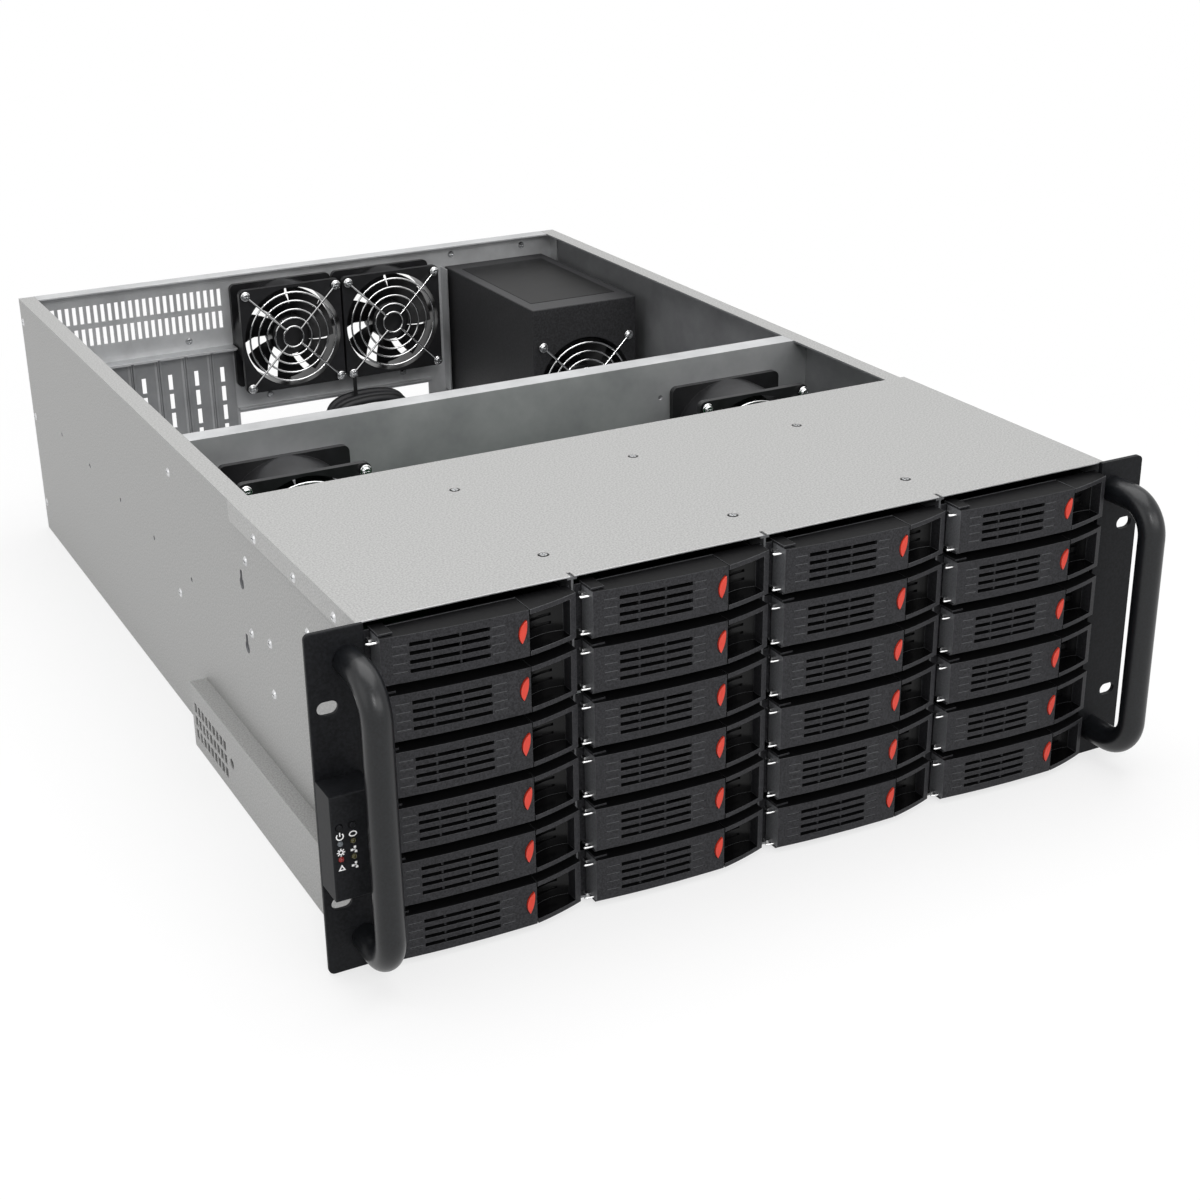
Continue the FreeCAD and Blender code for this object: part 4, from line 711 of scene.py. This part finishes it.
def screwTree():
    tree, given = startTree("cross_head_screw", [
        ("Radius", "Float"), ("Height", "Float"), ("Crown", "Float"), ("Cross Length", "Float"),
        ("Cross Width", "Float")])
    radius, height = given["Radius"], given["Height"]
    top = addNode(tree, "ShaderNodeMath", {0: radius, 1: given["Crown"]}, operation="MULTIPLY")
    head = addNode(tree, "GeometryNodeMeshCone", {
        "Vertices": screw["sides"], "Radius Top": top.outputs[0], "Radius Bottom": radius, "Depth": height})
    long = addNode(tree, "ShaderNodeMath", {0: radius, 1: given["Cross Length"]}, operation="MULTIPLY")
    span = addNode(tree, "ShaderNodeMath", {0: long.outputs[0], 1: 2.0}, operation="MULTIPLY").outputs[0]
    slim = addNode(tree, "ShaderNodeMath", {0: span, 1: given["Cross Width"]}, operation="MULTIPLY")
    wide = slim.outputs[0]
    raised = addNode(tree, "ShaderNodeCombineXYZ", {2: height}).outputs[0]
    bars = []
    for x, y in ((span, wide), (wide, span)):
        size = addNode(tree, "ShaderNodeCombineXYZ", {0: x, 1: y, 2: height})
        bar = addNode(tree, "GeometryNodeMeshCube", {"Size": size.outputs[0]})
        lifted = addNode(tree, "GeometryNodeTransform", {"Geometry": bar.outputs[0], "Translation": raised})
        bars.append(lifted.outputs[0])
    recessed = addNode(tree, "GeometryNodeMeshBoolean", {"Mesh 1": head.outputs[0], "Mesh 2": bars},
                       operation="DIFFERENCE", solver="EXACT")
    facing = addNode(tree, "GeometryNodeInputNamedAttribute", {"Name": "facing"}, data_type="FLOAT_VECTOR")
    aim = addNode(tree, "FunctionNodeAlignRotationToVector", {"Vector": facing.outputs[0]}, axis="Z")
    tall = addNode(tree, "GeometryNodeInputNamedAttribute", {"Name": "tall"}, data_type="FLOAT")
    stretch = addNode(tree, "ShaderNodeCombineXYZ", {0: 1.0, 1: 1.0, 2: tall.outputs[0]})
    placed = addNode(tree, "GeometryNodeInstanceOnPoints", {
        "Points": given["Geometry"], "Instance": recessed.outputs[0], "Rotation": aim.outputs[0],
        "Scale": stretch.outputs[0]})
    endTree(tree, placed.outputs[0], finish["screw"])
    return tree


def makeScrews():
    work = cleanCopy("screws")
    places, facings, heights = [], [], []
    for group in islands(work):
        low, high = extent(group)
        size, middle = high - low, (low + high) / 2
        thin = min(range(3), key=lambda i: size[i])
        facing = Vector((0, 0, 0))
        facing[thin] = {0: math.copysign(1, middle.x), 1: -1, 2: 1}[thin]
        places.append(middle - facing * size[thin] / 2)
        facings.extend(facing)
        heights.append(size[thin] / (screw["height"] * mm))
    work.free()
    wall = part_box("rear_fan_frames")[1].y
    for x, z in screw["rearWall"]:  # small heads on the inside of the rear wall
        places.append(Vector((x * mm, wall, z * mm)))
        facings.extend((0, -1, 0))
        heights.append(1.0)
    mesh = bpy.data.meshes.new("cross_head_screws")
    mesh.from_pydata(places, [], [])
    mesh.attributes.new("facing", "FLOAT_VECTOR", "POINT").data.foreach_set("vector", facings)
    mesh.attributes.new("tall", "FLOAT", "POINT").data.foreach_set("value", heights)
    piece = growOn("cross_head_screws", mesh, screwTree(), {
        "Radius": screw["radius"] * mm, "Height": screw["height"] * mm, "Crown": screw["crown"],
        "Cross Length": screw["crossLength"], "Cross Width": screw["crossWidth"]})
    piece.data.materials.append(finish["rim"])
    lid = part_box("drive_bay_cover")[1].z
    upright, level = screw["flank"]
    for face in piece.data.polygons:  # heads on the lid sit in dimples that shade their flanks
        if face.center.z > lid - screw["height"] * mm and upright < face.normal.z < level:
            face.material_index = len(piece.data.materials) - 1
    dress(piece, "case", "screw_zinc", "screws")
    return len(places)


print("screw heads:", makeScrews())


# Output lead of the power supply, folded into a hank that is tied to a fan screw: millimetres, but the
# length is in metres

lead = {
    "diameter": 6.0, "length": 0.9, "roundness": 4, "turns": 3.5, "pointsPerTurn": 16, "hankHeight": 42.0,
    "squeeze": 0.06, "swell": 5, "slack": 0.12, "drift": 7, "sway": 1.4, "twist": 9, "endRoom": 1.6,
    "innerBend": 12.5, "innerSteps": 6, "plug": (20.0, 9.0, 10.0), "plugStart": -1.0, "plugEdge": 0.6,
    "strap": (3.0, 1.2), "strapPlace": (25.85, 320.2), "strapFoot": 30.0, "strapTop": 87.8, "strapEdge": 0.3,
    "relief": (5.2, 3.6, 11.0), "reliefSides": 24,
    "route": ((135.2, 190.8, 30), (135.2, 152.8, 30), (112.2, 122.8, 31), (76.2, 114.8, 32),
              (48.2, 136.8, 33), (40.2, 176.8, 34), (41.2, 218.8, 36), (41.1, 261.8, 38), (38, 299, 46)),
}


def hankPoints():
    low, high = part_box("cable_hank")
    radius = lead["diameter"] / 2 * mm
    bend = lead["hankHeight"] / 2 * mm - radius
    middle = Vector(((low.x + high.x) / 2, 0, low.z + lead["hankHeight"] / 2 * mm))
    straight = (high.x - low.x) / 2 - radius - bend
    ends = lead["endRoom"] * radius
    count = int(lead["turns"] * lead["pointsPerTurn"])
    points = []
    for step in range(count + 1):  # no turn lies quite like the one before it
        turn = 2 * math.pi * step / lead["pointsPerTurn"] - math.pi / 2
        share = step / count
        size = bend * (1 - lead["squeeze"] * (1 + math.sin(lead["swell"] * share * math.pi)))
        loose = 1 - lead["slack"] * (1 + math.sin(lead["drift"] * share * math.pi))
        shift = straight * max(-1, min(1, 2 * math.cos(turn))) * loose
        sway = lead["sway"] * mm * math.sin(turn + lead["twist"] * share)
        y = low.y + ends + (high.y - low.y - 2 * ends) * share + sway
        points.append((middle.x + shift + size * math.cos(turn), y, middle.z + size * math.sin(turn)))
    inner, steps = lead["innerBend"] * mm, lead["innerSteps"]
    top = points[-1][2]
    for step in range(1, steps + 1):  # the end turns back inside the hank
        turn = math.pi / 2 + math.pi * step / steps
        points.append((middle.x + inner * math.cos(turn), y, top - inner + inner * math.sin(turn)))
    return points


def makeLead():
    points = [tuple(c * mm for c in place) for place in lead["route"]] + hankPoints()
    piece = tubeAlong("sleeved_lead", [points], lead["diameter"] * mm, lead["roundness"], finish["sleeve"])
    dress(piece, "case", "cable_sleeve", "psu_cable", "cable_hank")
    return piece, points[0], points[-1]


leadPiece, leadExit, leadEnd = makeLead()


def boxPiece(name, low, high, material, edge, slot):  # a small block on the case with rounded edges
    work = bmesh.new()
    bmesh.ops.create_cube(work, size=1)
    low, high = Vector(low), Vector(high)
    for vert in work.verts:
        vert.co = [low[i] if vert.co[i] < 0 else high[i] for i in range(3)]
    bmesh.ops.bevel(work, geom=work.edges[:], offset=edge, segments=2, affect="EDGES", profile=0.5)
    return dress(linkObject(name, meshFrom(work, name, material)), "case", slot)


def makeLeadEnds():
    length, deep, tall = (c * mm for c in lead["plug"])
    x, y, z = leadEnd
    near = (x + lead["plugStart"] * mm, y - deep / 2, z - tall / 2)
    far = (x + length, y + deep / 2, z + tall / 2)
    plug = boxPiece("lead_plug", near, far, finish["socket"], lead["plugEdge"] * mm, "black_moulding")
    wide, thin = (c / 2 * mm for c in lead["strap"])
    x, y = (c * mm for c in lead["strapPlace"])
    foot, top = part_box("cable_hank")[0].z + lead["strapFoot"] * mm, lead["strapTop"] * mm
    boxPiece("lead_tie", (x - wide, y - thin, foot), (x + wide, y + thin, top), finish["socket"],
             lead["strapEdge"] * mm, "black_moulding")
    wideEnd, narrowEnd, reach = (c * mm for c in lead["relief"])
    work = bmesh.new()
    middle = Vector(leadExit) - Vector((0, reach / 2, 0))
    place = Matrix.Translation(middle) @ Matrix.Rotation(math.pi / 2, 4, "X")
    bmesh.ops.create_cone(work, cap_ends=True, segments=lead["reliefSides"], radius1=wideEnd,
                          radius2=narrowEnd, depth=reach, matrix=place)
    mesh = meshFrom(work, "lead_strain_relief", finish["socket"])
    mesh.shade_smooth()
    dress(linkObject("lead_strain_relief", mesh), "case", "black_moulding")
    return plug


makeLeadEnds()
print("lead laid")


# Control box: buttons, lamp lenses and the printed symbols under them

panel = {
    "ink": 0.05, "line": 0.6, "left": -237.5, "right": -231.2, "heights": (83.9, 75.7, 67.6), "edge": 0.35,
    "lensEdge": 0.9, "mitre": 0.4, "ringSides": 20,
    "powerRing": 3.3, "powerGap": 1.5, "powerStroke": (2.1, 0.1),
    "sunRing": 2.0, "sunSides": 16, "sunRays": (2.8, 4.0), "rayCount": 8,
    "warning": 3.0, "warningDrop": 0.3, "disk": (3.4, 2.4),
    "boxes": ((0.5, 1.2), (-1.0, -0.1), (0.9, -1.2)), "boxWide": 1.2, "boxHalf": 0.55, "wire": 0.35,
    "wires": (((-0.4, -0.1), (0.5, -0.1), (0.5, 0.65)), ((0.9, -0.65), (0.9, -0.3))),
}


def inkPath(work, points, wide=None, closed=True):  # a printed line of even width, mitred at its corners
    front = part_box("control_box")[0].y - panel["ink"] * mm
    half = (wide or panel["line"]) / 2 * mm
    corners = [Vector((x * mm, z * mm)) for x, z in points]
    count = len(corners)
    pairs = []
    for i, corner in enumerate(corners):
        before = corners[i - 1] if closed or i else None
        after = corners[(i + 1) % count] if closed or i < count - 1 else None
        runs = [(corner - before).normalized()] if before else []
        runs += [(after - corner).normalized()] if after else []
        along = sum(runs, Vector((0, 0))).normalized()
        side = Vector((-along.y, along.x))
        reach = side * half / max(panel["mitre"], along.dot(runs[0]))
        pairs.append([work.verts.new((p.x, front, p.y)) for p in (corner - reach, corner + reach)])
    for start, end in zip(pairs, pairs[1:] + pairs[:1] if closed else pairs[1:]):
        work.faces.new((start[0], end[0], end[1], start[1]))


def ringPoints(x, z, wide, tall, count, gap=0.0):  # an open ring has its gap, in radians, at the top
    turn = 2 * math.pi - gap
    steps = [gap / 2 + turn * i / count for i in range(count + (gap > 0))]
    return [(x + wide / 2 * math.sin(a), z + tall / 2 * math.cos(a)) for a in steps]


def networkSymbol(work, x, z):
    for across, up in panel["boxes"]:
        ends = [(x + across, z + up - panel["boxHalf"]), (x + across, z + up + panel["boxHalf"])]
        inkPath(work, ends, wide=panel["boxWide"], closed=False)
    for wire in panel["wires"]:
        inkPath(work, [(x + across, z + up) for across, up in wire], wide=panel["wire"], closed=False)


def makeSymbols():
    high, middle, low = panel["heights"]
    left, right = panel["left"], panel["right"]
    sides = panel["ringSides"]
    work = bmesh.new()
    power = panel["powerRing"]
    inkPath(work, ringPoints(left, high, power, power, sides, panel["powerGap"]), closed=False)
    inkPath(work, [(left, high + up) for up in panel["powerStroke"]], closed=False)
    sun = panel["sunRing"]
    inkPath(work, ringPoints(left, middle, sun, sun, panel["sunSides"]))
    inner, outer = (ringPoints(left, middle, size, size, panel["rayCount"]) for size in panel["sunRays"])
    for ray in zip(inner, outer):
        inkPath(work, ray, closed=False)
    warning = panel["warning"]
    inkPath(work, ringPoints(left, low - panel["warningDrop"], warning, warning, 3))
    inkPath(work, ringPoints(right, high, *panel["disk"], sides))
    networkSymbol(work, right, middle)
    networkSymbol(work, right, low)
    bmesh.ops.recalc_face_normals(work, faces=work.faces)
    mesh = meshFrom(work, "panel_symbols", finish["ink"])
    dress(linkObject("panel_symbols", mesh), "case", "black_powder_coat")


def makeLenses():  # clear and red in the left column, amber in the right one
    work = cleanCopy("indicator_lamps")
    groups = islands(work)
    split = sum(sum(extent(group), Vector()).x for group in groups) / len(groups)
    level = sum(sum(extent(group), Vector()).z for group in groups) / len(groups)
    for group in groups:
        centre = sum(extent(group), Vector())
        for face in group:
            face.material_index = 2 if centre.x > split else 0 if centre.z > level else 1
    lenses = [finish["clearLens"], finish["redLens"], finish["amberLens"]]
    roundedPiece("lamp_lenses", work, lenses, "case", panel["lensEdge"] * mm, "indicator_lamps", "lamp_lens")


makeSymbols()
makeLenses()
for button in ("power_button", "reset_button"):
    roundedPiece(button + "_cap", cleanCopy(button), [finish["powder"]], button, panel["edge"] * mm, button,
                 "button_cap")
print("control box dressed")


# Power supply: a blank label plate on its lid, and pins in its mains inlet

supply = {"labelSide": 8.0, "labelFront": 0.12, "labelBack": 0.9, "labelThick": 0.25, "labelEdge": 0.08,
          "inlet": (161.0, 36.0), "inletFloor": 333.4, "pin": (2.0, 11.5, 4.6), "pinEdge": 0.4,
          "pins": ((-7.0, -1.8), (0.0, 2.2), (7.0, -1.8))}


def makeLabel():
    low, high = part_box("power_supply")
    side, deep = supply["labelSide"] * mm, high.y - low.y
    near = (low.x + side, low.y + deep * supply["labelFront"], high.z)
    far = (high.x - side, low.y + deep * supply["labelBack"], high.z + supply["labelThick"] * mm)
    boxPiece("supply_label", near, far, finish["label"], supply["labelEdge"] * mm, "psu_coat")


def makeInletPins():
    wide, long, tall = (c * mm for c in supply["pin"])
    floor = supply["inletFloor"] * mm
    for number, (across, up) in enumerate(supply["pins"], 1):
        x, z = ((c + shift) * mm for c, shift in zip(supply["inlet"], (across, up)))
        near = (x - wide / 2, floor, z - tall / 2)
        far = (x + wide / 2, floor + long, z + tall / 2)
        boxPiece(f"inlet_pin_{number}", near, far, finish["chrome"], supply["pinEdge"] * mm, "screw_zinc")


makeLabel()
makeInletPins()
print("power supply labelled")


# Backplane: black sockets on a green board

backplane = {"thick": 1.7}


def makeBackplane():
    work = cleanCopy("drive_backplane")
    groups = islands(work)
    board = max(groups, key=lambda group: (extent(group)[1] - extent(group)[0]).x)
    for group in groups:
        for face in group:
            face.material_index = 0 if group is board else 1
    front = extent(board)[1].y - backplane["thick"] * mm
    for face in board:  # sockets that are one with the board stand out in front of it
        if face.calc_center_median().y < front:
            face.material_index = 1
    materials = [finish["board"], finish["socket"]]
    roundedPiece("backplane_board", work, materials, "case", 0, "drive_backplane", "circuit_board")


makeBackplane()
print("backplane dressed")


# Fan rotors: a capped hub with swept, pitched blades that nearly meet

rotor = {"hub": 15.0, "hubSides": 48, "capEdge": 1.6, "rimAngle": 1.0, "root": 14.0, "tip": 35.5, "blades": 7,
         "width": 43.0, "sweep": 14.0, "rise": 11.5, "tipEase": 0.2, "camber": 1.2, "thick": 1.3,
         "along": 8, "across": 8}


def makeBlade(work, centre, turn):
    grid = []
    for i in range(rotor["along"] + 1):
        out = i / rotor["along"]
        radius = (rotor["root"] + (rotor["tip"] - rotor["root"]) * out) * mm
        line = []
        for j in range(rotor["across"] + 1):
            chord = j / rotor["across"] - 0.5
            angle = turn + math.radians(rotor["width"] * chord + rotor["sweep"] * out)
            camber = rotor["camber"] * (1 - 4 * chord * chord)
            height = (rotor["rise"] * (1 - rotor["tipEase"] * out) * chord + camber) * mm
            offset = Vector((radius * math.cos(angle), height, radius * math.sin(angle)))
            line.append(work.verts.new(centre + offset))
        grid.append(line)
    faces = []
    for near, far in zip(grid, grid[1:]):
        for j in range(rotor["across"]):
            faces.append(work.faces.new((near[j], near[j + 1], far[j + 1], far[j])))
    bmesh.ops.solidify(work, geom=faces, thickness=rotor["thick"] * mm)


def makeRotor(node):
    low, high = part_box(node)
    centre = Vector(((low.x + high.x) / 2, (low.y + high.y) / 2, (low.z + high.z) / 2))
    hub = rotor["hub"] * mm
    work = bmesh.new()
    turned = Matrix.Translation(centre) @ Matrix.Rotation(math.pi / 2, 4, "X")
    bmesh.ops.create_cone(work, cap_ends=True, segments=rotor["hubSides"], radius1=hub, radius2=hub,
                          depth=high.y - low.y, matrix=turned)
    rim = [e for e in work.edges if len(e.link_faces) == 2 and e.calc_face_angle(0) > rotor["rimAngle"]]
    bmesh.ops.bevel(work, geom=rim, offset=rotor["capEdge"] * mm, segments=3, affect="EDGES", profile=0.5)
    for blade in range(rotor["blades"]):
        makeBlade(work, centre, 2 * math.pi * blade / rotor["blades"])
    bmesh.ops.recalc_face_normals(work, faces=work.faces)
    roundedPiece(node + "_blades", work, [finish["fan"]], node, 0, node, "fan_plastic")


for place in ("rear_left", "rear_right", "mid_left", "mid_right", "psu"):
    makeRotor(place + "_rotor")
print("rotors bladed")


# CAD solids that keep their own shape

kept = {"left_handle": "tube", "right_handle": "tube", "drive_cage": "cageZinc"}
for node, name in kept.items():
    mesh = nodes[node].data
    mesh.materials.clear()
    mesh.materials.append(finish[name])
print("kept solids finished:", len(kept))
